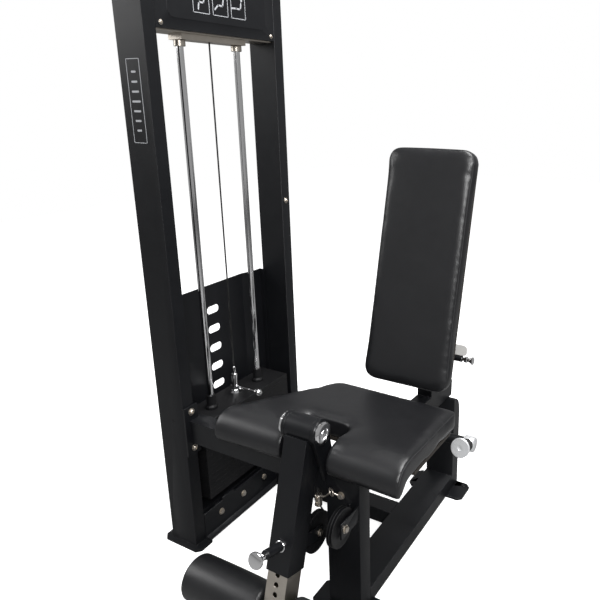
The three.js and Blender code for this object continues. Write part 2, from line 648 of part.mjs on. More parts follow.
// ---------------------------------------------------------------- seat frame
function buildSeatFrame(root) {
  const beamZ = SEAT_BEAM.bottom + SEAT_BEAM.tall / 2;
  const left = postFace + GAP;
  const right = SEAT_X - BASE_TUBE.wide / 2 - GAP;
  let beam = tubeX([FRONT_POST_Y, beamZ], SEAT_BEAM.deep, SEAT_BEAM.tall, SEAT_BEAM.wall, left, right);
  beam = beam.add(block([left, frontPostY - POST.deep / 2, BEAM_FLANGE.bottom],
    [left + BEAM_FLANGE.thick, frontPostY - POST.deep / 2 + BEAM_FLANGE.deep, BEAM_FLANGE.top]));
  beam = beam.subtract(bar('x', CABLE * 3, BEAM_FLANGE.thick * 4, [left, POST_RUN.y, POST_RUN.z]));
  const [px, py, pz] = beamPulleyPlace();
  beam = beam.subtract(block([px - PULLEY.rim - 4, py - 8, SEAT_BEAM.bottom - OVERCUT],
    [px + PULLEY.rim + 6, py + 8, SEAT_BEAM.bottom + OVERCUT]));
  beam = beam.subtract(bar('y', PULLEY.pin + GAP, SEAT_BEAM.deep * 2, [px, py, pz]));
  node('seat_beam', beam, blackPaint, root);
  const pinEnds = [FRONT_POST_Y - SEAT_BEAM.deep / 2 - py, FRONT_POST_Y + SEAT_BEAM.deep / 2 - py];
  node('beam_pulley', pulley('y', PULLEY, pinEnds, [px, py, pz]), plastic, root);

  let front = tubeZ([SEAT_X, FRONT_POST_Y], BASE_TUBE.wide, BASE_TUBE.deep, BASE_TUBE.wall,
    FOOT.thick, FRONT_POST_TOP);
  front = front.add(blockAt([SEAT_X, FRONT_POST_Y, FRONT_POST_TOP - 2], [BASE_TUBE.wide, BASE_TUBE.deep, 4]));
  front = front.add(footPlate([SEAT_X, FRONT_POST_Y], SEAT_FOOT.wide, SEAT_FOOT.deep));
  front = front.subtract(bar('z', DRAIN, FOOT.thick * 4, [SEAT_X, FRONT_POST_Y, 0]));
  front = front.add(framePulleyBracket());
  node('seat_front_post', front, blackPaint, root);

  const frontFace = FRONT_POST_Y + BASE_TUBE.deep / 2;
  const base = tubeY([SEAT_X, FOOT.thick + BASE_TUBE.deep / 2], BASE_TUBE.wide, BASE_TUBE.deep, BASE_TUBE.wall,
    frontFace + GAP, REAR_POST_Y - BASE_TUBE.deep / 2 + 1);
  node('seat_base', base.add(rearPost()), blackPaint, root);

  const lipEdge = postFace + ANGLE.offset + ANGLE.lip + GAP;
  node('base_bar', tubeX([BASE_BAR.y, FOOT.thick + BASE_BAR.tall / 2], BASE_BAR.deep, BASE_BAR.tall,
    BASE_BAR.wall, lipEdge, right), blackPaint, root);
}

function rearPost() {
  const y0 = REAR_POST_Y - BASE_TUBE.deep / 2;
  const y1 = REAR_POST_Y + BASE_TUBE.deep / 2;
  const profile = new THREE.Shape();
  profile.moveTo(y0, FOOT.thick);
  profile.lineTo(y1, FOOT.thick);
  profile.lineTo(y1, REAR_POST.shoulder);
  profile.bezierCurveTo(y1, REAR_POST.shoulder + 46, y0 + 26, REAR_POST.top, y0, REAR_POST.top);
  const x0 = SEAT_X - BASE_TUBE.wide / 2;
  const x1 = SEAT_X + BASE_TUBE.wide / 2;
  const w = BASE_TUBE.wall;
  const shell = sweptX(profile, x0, x1).subtract(
    block([x0 + w, y0 + w, FOOT.thick - OVERCUT], [x1 - w, y1 - w, REAR_POST.shoulder]));
  const foot = footPlate([SEAT_X, REAR_POST_Y - 22], SEAT_FOOT.wide, SEAT_FOOT.deep);
  return shell.add(foot).subtract(bar('z', DRAIN, FOOT.thick * 4, [SEAT_X, REAR_POST_Y, 0]));
}

// two side plates on the front post that hold the double pulley
function framePulleyBracket() {
  const p = FRAME_PULLEY;
  const face = FRONT_POST_Y - BASE_TUBE.deep / 2;
  let sides = null;
  const b = FRAME_BRACKET;
  [p.x - p.wide / 2 - b.leftGap, p.x + p.wide / 2 + b.rightGap].forEach((x) => {
    const plate = block([x, p.y - b.front, p.z - b.tall / 2], [x + b.thick, face + 1, p.z + b.tall / 2]);
    sides = sides ? sides.add(plate) : plate;
  });
  return sides.subtract(bar('x', PULLEY.pin + GAP, p.wide * 3, [p.x, p.y, p.z]));
}

function buildFramePulley(root) {
  const p = FRAME_PULLEY;
  const w = p.wide / 2;
  const half = [[p.rim, 0], [p.rim, p.lip], [p.groove, p.floor[0]], [p.groove, p.floor[1]],
    [p.rim, w - p.lip], [p.rim, w]];
  const pinEnd = w + FRAME_BRACKET.leftGap + FRAME_BRACKET.thick;
  const profile = [[0, -pinEnd], [PULLEY.pin, -pinEnd], [PULLEY.pin, -w],
    ...half.slice().reverse().map(([r, a]) => [r, -a]), ...half.slice(1), [PULLEY.pin, w],
    [PULLEY.pin, pinEnd], [0, pinEnd]];
  node('frame_pulley', turned('x', profile, [p.x, p.y, p.z], FINE), plastic, root);
}

// a yoke plate: round at the pivot, notched to sit on the front and the top of the seat beam
function yokePlate(x0, x1) {
  const beamFront = FRONT_POST_Y - SEAT_BEAM.deep / 2 - GAP;
  const beamTop = SEAT_BEAM.bottom + SEAT_BEAM.tall + GAP;
  const body = outline([[PIVOT.y - YOKE.radius, PIVOT.z], [beamFront - YOKE.toe, YOKE.bottom],
    [beamFront, YOKE.bottom], [beamFront, beamTop], [YOKE.rear, beamTop],
    [PIVOT.y + YOKE.radius, PIVOT.z]]);
  const eye = bar('x', YOKE.radius, x1 - x0, [(x0 + x1) / 2, PIVOT.y, PIVOT.z], FINE);
  const hole = bar('x', SHAFT + GAP, (x1 - x0) * 3, [(x0 + x1) / 2, PIVOT.y, PIVOT.z]);
  return sweptX(body, x0, x1).add(eye).subtract(hole);
}

function buildYoke(root) {
  const near = BARREL.half + GAP * 2;
  const far = near + YOKE.thick;
  node('yoke_left', yokePlate(PIVOT.x - far, PIVOT.x - near), blackPaint, root);
  node('yoke_right', yokePlate(PIVOT.x + near, PIVOT.x + far), blackPaint, root);

  const capIn = far + GAP;
  const capOut = capIn + PIVOT_CAP.thick;
  const r = PIVOT_CAP.radius;
  const shaftProfile = [[0, -capOut], [r - 2, -capOut], [r, -capOut + 2], [r, -capIn], [SHAFT, -capIn],
    [SHAFT, capIn - 1], [0, capIn - 1]];
  node('pivot_shaft', turned('x', shaftProfile, [PIVOT.x, PIVOT.y, PIVOT.z], FINE), chrome, root);
  const capProfile = [[0, capIn], [r, capIn], [r, capOut - 2], [r - 2, capOut], [0, capOut]];
  node('pivot_cap', turned('x', capProfile, [PIVOT.x, PIVOT.y, PIVOT.z], FINE), chrome, root);
}

// ---------------------------------------------------------------- lever, in its own frame
function buildLever(root) {
  const lever = new THREE.Group();
  lever.position.copy(PIVOT);
  lever.rotation.x = -LEVER_TILT;
  root.add(lever);

  const w = LEVER.width;
  let arm = tubeZ([0, 0], w, w, LEVER.wall, LEVER.bottom, -BARREL.outer * 0.6);
  arm = arm.add(bar('x', BARREL.outer, BARREL.half * 2, [0, 0, 0], FINE));
  arm = arm.add(blockAt([0, 0, -BARREL.outer * 0.6 - 8], [w, w, 16]));
  arm = arm.subtract(bar('x', BARREL.bore, BARREL.half * 4, [0, 0, 0]));
  arm = arm.subtract(bar('y', LEVER_PIN.body - 4 + GAP, w / 2, [0, -w / 2, LEVER_PIN.z]));
  arm = arm.add(leverPulleyBracket());
  node('lever_arm', arm, blackPaint, lever);

  const bearing = bar('x', BARREL.bore - GAP, BARREL.half * 2, [0, 0, 0])
    .subtract(bar('x', SHAFT + GAP, BARREL.half * 4, [0, 0, 0]));
  node('lever_bearing', bearing, alloy, lever);

  const p = LEVER_PULLEY;
  node('lever_pulley', pulley('x', p, [-p.wide, p.wide], [p.x, p.y, p.z]), plastic, lever);

  buildLeverPin(lever);
  buildShin(lever);
}

function leverPulleyBracket() {
  const p = LEVER_PULLEY;
  const b = LEVER_BRACKET;
  const half = p.wide / 2 + b.gap;
  let sides = null;
  [-half - b.thick, half].forEach((x) => {
    const plate = block([p.x + x, LEVER.width / 2 - 1, p.z - b.tall / 2],
      [p.x + x + b.thick, p.y + b.tail, p.z + b.tall / 2]);
    sides = sides ? sides.add(plate) : plate;
  });
  return sides.subtract(bar('x', PULLEY.pin + GAP, half * 4, [p.x, p.y, p.z]));
}

// the sprung pin is drawn clear of the shin tube, with its whole stroke still to go
function buildLeverPin(lever) {
  const face = -LEVER.width / 2;
  const p = LEVER_PIN;
  const k = PIN_KNOB;
  const bore = k.shaft + GAP;
  const seat = p.body - 4;
  const housing = [[bore, face + p.seat], [seat, face + p.seat], [seat, face - GAP],
    [p.ring, face - GAP], [p.ring, face - p.ringTall], [p.body, face - p.ringTall],
    [p.body, face - p.bodyLong], [bore, face - p.bodyLong], [bore, face + p.seat]];
  node('lever_pin_housing', turned('y', housing, [0, 0, p.z]), blackPaint, lever);

  const tip = -SHIN.width / 2 - GAP;
  const neckStart = face - p.bodyLong - GAP - p.stroke;
  const neckEnd = face - k.neckEnd;
  const knobEnd = face - k.end;
  const pin = [[0, tip], [k.shaft - 1, tip], [k.shaft, tip - 1], [k.shaft, neckStart],
    [k.neck + 3, neckStart], [k.neck + 3, neckStart - 6], [k.neck, neckEnd],
    [k.radius - 3, knobEnd + k.thick], [k.radius, knobEnd + k.thick / 2], [k.radius - 1, knobEnd],
    [0, knobEnd]];
  node('lever_pin', turned('y', pin, [0, 0, p.z], FINE), chrome, lever);
}

function buildShin(lever) {
  const s = SHIN.width;
  let tube = tubeZ([0, 0], s, s, SHIN.wall, SHIN.bottom, SHIN.top);
  for (let i = 0; i < SHIN_HOLE.count; i += 1) {
    const z = SHIN_HOLE.first + i * SHIN_HOLE.pitch;
    tube = tube.subtract(bar('y', SHIN_HOLE.radius, s, [0, -s / 2, z], HOLE));
  }
  const end = ROLLER.outer + ROLLER.capThick;
  const axle = turned('x', [[0, -end], [ROLLER.cap, -end], [ROLLER.cap, -ROLLER.outer - GAP],
    [ROLLER.axle, -ROLLER.outer - GAP], [ROLLER.axle, -ROLLER.inner], [ROLLER.cap, -ROLLER.inner],
    [ROLLER.cap, -ROLLER.inner + ROLLER.capThick], [ROLLER.axle, -ROLLER.inner + ROLLER.capThick],
    [ROLLER.axle, ROLLER.inner - ROLLER.capThick], [ROLLER.cap, ROLLER.inner - ROLLER.capThick],
    [ROLLER.cap, ROLLER.inner], [ROLLER.axle, ROLLER.inner], [ROLLER.axle, ROLLER.outer + GAP],
    [ROLLER.cap, ROLLER.outer + GAP], [ROLLER.cap, end], [0, end]], [0, 0, ROLLER.z]);
  node('shin_tube', tube.add(axle), zinc, lever);

  [-1, 1].forEach((side, i) => {
    const long = ROLLER.outer - ROLLER.inner - GAP;
    const middle = side * (ROLLER.inner + GAP + long / 2);
    const pad = bar('x', ROLLER.radius, long, [middle, 0, ROLLER.z], FINE)
      .subtract(bar('x', ROLLER.bore, long * 2, [middle, 0, ROLLER.z]));
    node(['shin_roller_left', 'shin_roller_right'][i], pad, vinyl, lever);
  });
}

// ---------------------------------------------------------------- seat
// plan of the seat: wide wing towards the tower, notch at the front round the pivot
function seatPlan(inset, frontY) {
  const s = SEAT;
  const t = (s.rearY - frontY) / (s.rearY - s.frontY);
  const leftFront = s.rearLeft + (s.frontLeft - s.rearLeft) * Math.min(1, t * 1.16);
  const rightFront = s.rearRight + (s.frontRight - s.rearRight) * t;
  const r = NOTCH.corner;
  const shape = new THREE.Shape();
  shape.moveTo(rightFront - inset, frontY);
  shape.lineTo(s.rearRight - inset, s.rearY - inset - 24);
  shape.quadraticCurveTo(s.rearRight - inset, s.rearY - inset, s.rearRight - inset - 24, s.rearY - inset);
  shape.lineTo(s.rearLeft + inset + 34, s.rearY - inset);
  shape.quadraticCurveTo(s.rearLeft + inset, s.rearY - inset, s.rearLeft + inset - 16, s.rearY - inset - 30);
  shape.lineTo(leftFront + inset, Math.max(frontY, -176));
  if (frontY < -176) {
    shape.lineTo(leftFront + inset, frontY);
  }
  if (frontY < NOTCH.rear) {
    shape.lineTo(NOTCH.left - inset, frontY);
    shape.lineTo(NOTCH.left - inset, NOTCH.rear + inset - r);
    shape.quadraticCurveTo(NOTCH.left - inset, NOTCH.rear + inset, NOTCH.left - inset + r, NOTCH.rear + inset);
    shape.lineTo(NOTCH.right + inset - r, NOTCH.rear + inset);
    shape.quadraticCurveTo(NOTCH.right + inset, NOTCH.rear + inset, NOTCH.right + inset, NOTCH.rear + inset - r);
    shape.lineTo(NOTCH.right + inset, frontY);
  }
  return shape;
}

// side view of the cushion: flat top, rolled nose that hangs over the front
function cushionProfile() {
  const s = new THREE.Shape();
  const f = SEAT.frontY;
  const top = SEAT_TOP;
  const under = SEAT_TOP - CUSHION.thick;
  const low = top - CUSHION.nose;
  s.moveTo(SEAT.rearY + 1, under);
  s.lineTo(SEAT.rearY + 1, top);
  s.lineTo(f + 66, top);
  s.bezierCurveTo(f + 26, top, f, top - 26, f, top - 50);
  s.bezierCurveTo(f, low + 10, f + 8, low, f + 22, low);
  s.bezierCurveTo(f + 38, low, f + 44, under, f + 76, under);
  return s;
}

function buildSeat(root) {
  const seat = new THREE.Group();
  seat.position.set(0, SEAT_TILT_Y, SEAT_TOP);
  seat.rotation.x = -SEAT_TILT;
  root.add(seat);
  const cushion = sweptZ(seatPlan(0, SEAT.frontY), SEAT_TOP - CUSHION.nose - 2, SEAT_TOP + 2)
    .intersect(sweptX(cushionProfile(), SEAT.frontLeft - 5, SEAT.frontRight + 5))
    .translate([0, -SEAT_TILT_Y, -SEAT_TOP]);
  node('seat_cushion', cushion, vinyl, seat);
  const boardTop = SEAT_TOP - CUSHION.thick - GAP;
  const board = sweptZ(seatPlan(BOARD.inset, BOARD.frontY), boardTop - BOARD.thick, boardTop)
    .translate([0, -SEAT_TILT_Y, -SEAT_TOP]);
  node('seat_board', board, plywood, seat);
}

// ---------------------------------------------------------------- handles and back rest
function buildHandles(root) {
  const h = HANDLE;
  const middle = (h.left + h.right) / 2;
  const hub = HANDLE_HUB;
  const long = h.right - h.left - 2 * (hub.long + GAP);
  const saddle = block([BACK.x - h.radius, h.y - h.radius, h.z],
    [BACK.x + h.radius, h.y + h.radius, h.z + h.saddle - 1]);
  node('handle_bar', bar('x', h.radius, long, [middle, h.y, h.z]).add(saddle), blackPaint, root);

  [h.left + hub.long / 2, h.right - hub.long / 2].forEach((x, i) => {
    const side = new THREE.Group();
    side.position.set(x, h.y, h.z);
    side.rotation.x = -HANDLE_TILT;
    root.add(side);
    const core = turned('y', [[0, GRIP.end - GRIP.capThick], [GRIP.cap - 2, GRIP.end - GRIP.capThick],
      [GRIP.cap, GRIP.end - GRIP.capThick + 2], [GRIP.cap, GRIP.end], [GRIP.core, GRIP.end],
      [GRIP.core, 0], [0, 0]], [0, 0, 0], FINE);
    const end = bar('x', hub.radius, hub.long, [0, 0, 0], FINE).add(core);
    node(['handle_end_left', 'handle_end_right'][i], end, alloy, side);

    const gripFrom = GRIP.end + GAP;
    const gripTo = -hub.radius - GAP;
    const sleeve = bar('y', GRIP.radius, gripTo - gripFrom, [0, (gripFrom + gripTo) / 2, 0])
      .subtract(bar('y', GRIP.core + GAP, -GRIP.end * 4, [0, 0, 0]));
    node(['handle_grip_left', 'handle_grip_right'][i], sleeve, rubber, side);
  });
}

// the rail under the seat, the upright behind it and the sleeve on top are one welded frame
function buildBack(root) {
  const u = UPRIGHT;
  const sleeveBottom = SLEEVE.z - SLEEVE.wide / 2;
  const tilted = (body) => body.translate([0, -SEAT_TILT_Y, -SEAT_TOP])
    .rotate([-THREE.MathUtils.radToDeg(SEAT_TILT), 0, 0]).translate([0, SEAT_TILT_Y, SEAT_TOP]);
  const railTop = SEAT_TOP - CUSHION.thick - BOARD.thick - 2 * GAP;
  const rail = tilted(tubeY([BACK.x, railTop - RAIL.tall / 2], u.wide, RAIL.tall, u.wall,
    RAIL.front, RAIL.rear));
  const rearCap = tilted(block([BACK.x - u.wide / 2, RAIL.rear - u.wall, railTop - RAIL.tall],
    [BACK.x + u.wide / 2, RAIL.rear, railTop]));
  const seatLine = tilted(block([-POST.top, -POST.top, -POST.top], [POST.top, POST.top, railTop - 1]));
  const column = tubeZ([BACK.x, u.y], u.wide, u.deep, u.wall, railTop - 90, sleeveBottom + 1)
    .subtract(seatLine);
  const sleeve = tubeY([BACK.x, SLEEVE.z], SLEEVE.wide, SLEEVE.wide, SLEEVE.wall, SLEEVE.front, SLEEVE.rear);
  const p = BACK_PIN;
  const sleeveSide = BACK.x + SLEEVE.wide / 2;
  const body = bar('x', p.body, p.bodyEnd - sleeveSide + 1, [(sleeveSide - 1 + p.bodyEnd) / 2, p.y, SLEEVE.z]);
  const bore = bar('x', p.shaft + GAP, SLEEVE.wide * 4, [BACK.x + SLEEVE.wide * 2, p.y, SLEEVE.z]);
  const drain = bar('z', DRAIN, POST.wall * 4, [BACK.x, u.y, sleeveBottom]);
  node('back_frame', rail.add(rearCap).add(column).add(sleeve).add(body).subtract(bore).subtract(drain),
    blackPaint, root);

  const shape = roundedRect(sleeveSide + GAP, INDEX_PLATE.low, INDEX_PLATE.right, INDEX_PLATE.high,
    INDEX_PLATE.corner);
  node('index_plate', sweptY(shape, INDEX_PLATE.y - INDEX_PLATE.thick / 2, INDEX_PLATE.y + INDEX_PLATE.thick / 2),
    zinc, root);
  buildBackPin(root);
  buildBackRest(root);
}

// this sprung pin too is drawn clear, with its whole stroke still to go
function buildBackPin(root) {
  const p = BACK_PIN;
  const tip = BACK.x + SLIDE.width / 2 + GAP;
  const collar = p.bodyEnd + GAP + p.stroke;
  const profile = [[0, tip], [p.shaft - 1, tip], [p.shaft, tip + 1], [p.shaft, collar],
    [p.body, collar], [p.body, collar + 8], [p.shaft, collar + 10], [p.shaft + 1, p.neckEnd],
    [p.knob, p.end - 4], [p.knob, p.end], [0, p.end]];
  node('back_pin', turned('x', profile, [0, p.y, SLEEVE.z]), chrome, root);
}

function buildBackRest(root) {
  const reclined = (body) => body.rotate([-THREE.MathUtils.radToDeg(RECLINE), 0, 0])
    .translate([BACK.x, BACK.y, BACK.z]);
  const boardBack = BACK.thick + GAP + BACK_BOARD.thick + GAP;
  const s = SLIDE;
  let slide = tubeY([BACK.x, SLEEVE.z], s.width, s.width, s.wall, s.front, s.rear);
  for (let i = 0; i < SLIDE_HOLE.count; i += 1) {
    const y = SLIDE_HOLE.first + i * SLIDE_HOLE.pitch;
    slide = slide.subtract(bar('x', SLIDE_HOLE.radius, s.width, [BACK.x + s.width / 2, y, SLEEVE.z], HOLE));
  }
  const ahead = reclined(block([-BACK.width, -BACK.tall, -BACK.tall], [BACK.width, boardBack, BACK.tall]));
  const plate = reclined(block([-BACK_PLATE.half, boardBack, BACK_PLATE.low],
    [BACK_PLATE.half, boardBack + BACK_PLATE.thick, BACK_PLATE.high]));
  node('back_slide', slide.subtract(ahead).add(plate), zinc, root);

  const rest = new THREE.Group();
  rest.position.set(BACK.x, BACK.y, BACK.z);
  rest.rotation.x = -RECLINE;
  root.add(rest);
  const half = BACK.width / 2;
  const inset = BACK_BOARD.inset;
  const pad = sweptY(roundedRect(-half, 0, half, BACK.tall, BACK.corner), 0, BACK.thick);
  node('back_pad', pad, vinyl, rest);
  const board = sweptY(roundedRect(inset - half, inset, half - inset, BACK.tall - inset, BACK.corner - inset),
    BACK.thick + GAP, BACK.thick + GAP + BACK_BOARD.thick);
  node('back_board', board, plywood, rest);
}

// ---------------------------------------------------------------- the machine
const machine = new THREE.Group();
machine.name = 'leg_extension_machine';
machine.position.set(CENTRE.x, CENTRE.y, 0);
buildPosts(machine);
buildTowerBeams(machine);
buildTopPulleys(machine);
buildTowerBase(machine);
buildRods(machine);
buildStack(machine);
buildSelector(machine);
buildShroud(machine);
buildPlacard(machine);
buildCables(machine);
buildLeverCable(machine);
buildSeatFrame(machine);
buildFramePulley(machine);
buildYoke(machine);
buildLever(machine);
buildSeat(machine);
buildHandles(machine);
buildBack(machine);

export default machine;
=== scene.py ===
"""Looks of the leg extension machine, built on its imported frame.

Metres, +Z up; the user faces -Y.
"""
import json
import math

import bmesh
import bpy
import numpy as np
from mathutils import Matrix, Vector


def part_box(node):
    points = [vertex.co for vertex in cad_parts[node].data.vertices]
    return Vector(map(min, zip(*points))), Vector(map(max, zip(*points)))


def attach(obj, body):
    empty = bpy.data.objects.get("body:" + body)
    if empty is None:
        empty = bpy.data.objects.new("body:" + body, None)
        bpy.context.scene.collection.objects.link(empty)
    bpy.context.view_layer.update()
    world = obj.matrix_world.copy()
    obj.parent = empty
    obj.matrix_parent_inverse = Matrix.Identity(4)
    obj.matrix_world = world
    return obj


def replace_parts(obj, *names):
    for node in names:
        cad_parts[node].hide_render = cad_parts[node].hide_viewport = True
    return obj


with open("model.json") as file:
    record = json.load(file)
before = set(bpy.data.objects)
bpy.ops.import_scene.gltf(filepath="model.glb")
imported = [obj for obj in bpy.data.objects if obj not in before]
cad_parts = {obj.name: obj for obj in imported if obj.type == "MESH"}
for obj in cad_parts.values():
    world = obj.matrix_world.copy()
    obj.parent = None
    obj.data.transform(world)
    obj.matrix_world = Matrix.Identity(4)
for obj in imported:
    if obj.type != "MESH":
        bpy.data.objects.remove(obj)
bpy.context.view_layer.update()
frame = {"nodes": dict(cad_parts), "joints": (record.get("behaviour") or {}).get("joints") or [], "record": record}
MM = 0.001

LEVER_TILT = math.radians(16.8)      # the lever's lean at rest
SEAT_TILT = math.radians(3.4)
RECLINE = math.radians(14.4)
HANDLE_TILT = math.radians(19.8)
SHIFT = (8.0, -32.32)      # millimetres from the drawing's middle to the middle of the footprint

# Millimetres, before that shift.
SEAT_TURN = (-150.0, 516.0)          # y and z of the line that the seat is tilted about
BACK_HALF, BACK_TALL, BACK_CORNER = 141, 710, 42
BACK_FOOT = (213, 140.5, 523)        # the middle of the back pad's lower front edge
CLAMP = (128, -176, 316)
CAP_INNER = 49.9                     # from the lever's middle to the inner face of a pivot cap
FLANGE_BOLT_HEIGHTS = (343, 460)
ANGLE_BOLT_PLACES = (-92, 12, 118)
REAR_BOLT_HEIGHT = 1010

STITCH = 1.2 * MM
STITCH_LIFT = 0.2 * MM
SWELL_FRAMES = 20

SKY_LIGHT = 0.30     # what the white surroundings give the surfaces
SKY_SEEN = 1.0       # how bright they look themselves
FLOOR_GLOW = 0.78
LAMPS = (            # name, place, size in metres, watts
    ("key", (2.0, -2.3, 2.7), 1.5, 95.0),
    ("fill", (-3.0, -1.4, 2.6), 2.0, 50.0),
    ("top", (0.9, 0.3, 3.4), 1.8, 120.0),
)
LAMP_AIM = Vector((0.0, 0.0, 0.7))


# ------------------------------------------------------------------ shader words

class Wire:
    """A socket in a material; sums, products and powers of wires add Math nodes."""

    def __init__(self, tree, socket):
        self.tree = tree
        self.socket = socket

    def math(self, operation, other=None, swapped=False):
        node = self.tree.nodes.new("ShaderNodeMath")
        node.operation = operation
        terms = [self] if other is None else [self, other]
        if swapped:
            terms.reverse()
        for place, term in zip(node.inputs, terms):
            if isinstance(term, Wire):
                self.tree.links.new(term.socket, place)
            else:
                place.default_value = term
        return Wire(self.tree, node.outputs[0])

    def __add__(self, other):
        return self.math("ADD", other)

    __radd__ = __add__

    def __mul__(self, other):
        return self.math("MULTIPLY", other)

    __rmul__ = __mul__

    def __sub__(self, other):
        return self.math("SUBTRACT", other)

    def __rsub__(self, other):
        return self.math("SUBTRACT", other, swapped=True)

    def __pow__(self, other):
        return self.math("POWER", other)

    def clipped(self, low, high):
        return self.math("MAXIMUM", low).math("MINIMUM", high)

    def above(self, limit):
        return self.math("GREATER_THAN", limit)


class Finish:
    """One material: a Principled shader and short words for the nodes that feed it."""

    def __init__(self, name, **constants):
        self.material = bpy.data.materials.new(name)
        self.material.use_nodes = True
        self.tree = self.material.node_tree
        self.shader = self.tree.nodes["Principled BSDF"]
        for socket, value in constants.items():
            self.shader.inputs[socket.replace("_", " ")].default_value = value
        self.place = self.add("ShaderNodeTexCoord", out="Object")

    def add(self, kind, settings=None, out=0, **inputs):
        node = self.tree.nodes.new(kind)
        for key, value in (settings or {}).items():
            setattr(node, key, value)
        for key, value in inputs.items():
            socket = node.inputs[int(key[1:]) if key[0] == "_" else key.replace("_", " ")]
            if isinstance(value, Wire):
                self.tree.links.new(value.socket, socket)
            else:
                socket.default_value = value
        return Wire(self.tree, node.outputs[out])

    def feed(self, socket, wire):
        self.tree.links.new(wire.socket, self.shader.inputs[socket])

    def stretched(self, scale):
        return self.add("ShaderNodeMapping", Vector=self.place, Scale=scale)

    def noise(self, scale, detail=3.0, rough=0.5, where=None):
        return self.add("ShaderNodeTexNoise", Vector=where or self.place, Scale=scale,
                        Detail=detail, Roughness=rough)

    def cells(self, scale, feature="DISTANCE_TO_EDGE"):
        return self.add("ShaderNodeTexVoronoi", {"feature": feature}, Vector=self.place,
                        Scale=scale)

    def colours(self, factor, low, high):
        """Blends two colours; each is three numbers or a wire."""
        low, high = (c if isinstance(c, Wire) else (*c, 1) for c in (low, high))
        return self.add("ShaderNodeMix", {"data_type": "RGBA"}, out=2, _0=factor, _6=low, _7=high)

    def bump(self, height, distance, strength=1.0, below=None):
        extra = {"Normal": below} if below else {}
        return self.add("ShaderNodeBump", Height=height, Distance=distance, Strength=strength,
                        **extra)


def powder_coat():
    """Satin black powder: fine orange peel, slightly uneven gloss, a trace of dust."""
    coat = Finish("powder_coat", Specular_IOR_Level=0.34)
    patches = coat.noise(7.0, 4.0)
    coat.feed("Base Color", coat.colours(patches, (0.0035, 0.0038, 0.0048),
                                         (0.0075, 0.0080, 0.0095)))
    coat.feed("Roughness", 0.30 + 0.16 * coat.noise(26.0, 5.0))
    coat.feed("Normal", coat.bump(coat.noise(620.0, 2.0), 0.00022, 0.35))
    return coat.material


def zinc_plate():
    """Warm zinc with fine brushing along the length and cloudy passivation."""
    zinc = Finish("zinc_plate", Metallic=1.0)
    clouds = zinc.noise(18.0, 5.0, 0.6)
    zinc.feed("Base Color", zinc.colours(clouds, (0.50, 0.45, 0.39), (0.72, 0.67, 0.60)))
    brushed = zinc.noise(1.0, 2.0, where=zinc.stretched((900.0, 900.0, 14.0)))
    zinc.feed("Roughness", 0.24 + 0.2 * brushed)
    zinc.feed("Normal", zinc.bump(brushed, 0.0001, 0.25))
    return zinc.material


def pale_zinc_painted_lit():
    """Pale zinc painted almost white: partly its own fresh tone, partly painted light, a lit copy of the zinc
    plate for a part that faces the lamps.
    """
    zinc = Finish("pale_zinc_painted_lit", Metallic=0.1)
    clouds = zinc.noise(22.0, 4.0)
    zinc.feed("Base Color", zinc.colours(clouds, (0.80, 0.79, 0.76), (0.90, 0.89, 0.87)))
    zinc.feed("Roughness", 0.34 + 0.16 * clouds)
    zinc.feed("Normal", zinc.bump(clouds, 0.0001, 0.2))
    return zinc.material


def chrome():
    """Polished chrome with faint wiping marks."""
    bright = Finish("chrome", Metallic=1.0)
    wiped = bright.noise(1.0, 3.0, where=bright.stretched((300.0, 300.0, 30.0)))
    bright.feed("Base Color", bright.colours(wiped, (0.84, 0.84, 0.85), (0.94, 0.94, 0.95)))
    bright.feed("Roughness", 0.05 + 0.09 * wiped)
    bright.feed("Normal", bright.bump(wiped, 0.00001, 0.08))
    return bright.material


def turned_alloy():
    """Aluminium with concentric turning marks that catch the light in sectors."""
    alloy = Finish("turned_alloy", Metallic=0.6)
    grain = alloy.noise(70.0, 4.0)
    alloy.feed("Base Color", alloy.colours(grain, (0.86, 0.87, 0.89), (0.96, 0.97, 0.98)))
    rings = alloy.noise(1.0, 2.0, where=alloy.stretched((1400.0, 60.0, 1400.0)))
    alloy.feed("Roughness", 0.2 + 0.2 * rings)
    alloy.feed("Normal", alloy.bump(rings, 0.00006, 0.3))
    return alloy.material


def stack_iron():
    """Painted iron: thin paint over a cast skin."""
    iron = Finish("stack_iron", Specular_IOR_Level=0.3)
    skin = iron.noise(140.0, 6.0, 0.6)
    iron.feed("Base Color", iron.colours(skin, (0.0030, 0.0030, 0.0035), (0.0080, 0.0080, 0.0088)))
    iron.feed("Roughness", 0.38 + 0.24 * skin)
    iron.feed("Normal", iron.bump(skin, 0.0003, 0.4))
    return iron.material


def upholstery():
    """Black vinyl: pebble grain of shallow cells, soft gloss that varies with handling."""
    vinyl = Finish("upholstery", Specular_IOR_Level=0.62)
    worn = vinyl.noise(9.0, 4.0)
    vinyl.feed("Base Color", vinyl.colours(worn, (0.0055, 0.0057, 0.0066),
                                           (0.0100, 0.0102, 0.0116)))
    vinyl.feed("Roughness", 0.27 + 0.12 * vinyl.noise(34.0, 4.0))
    pebbles = vinyl.cells(620.0).clipped(0.0, 0.12)
    broad = vinyl.bump(vinyl.noise(38.0, 3.0), 0.0012, 0.22)
    vinyl.feed("Normal", vinyl.bump(pebbles, 0.0006, 0.55, below=broad))
    return vinyl.material


def thread():
    """Bonded polyester thread, darker than the vinyl and finely twisted."""
    twist = Finish("thread")
    lay = twist.noise(1.0, 1.0, where=twist.stretched((900.0, 900.0, 500.0)))
    twist.feed("Base Color", twist.colours(lay, (0.008, 0.008, 0.009), (0.03, 0.03, 0.032)))
    twist.feed("Roughness", 0.5 + 0.2 * lay)
    twist.feed("Normal", twist.bump(lay, 0.0002, 0.5))
    return twist.material


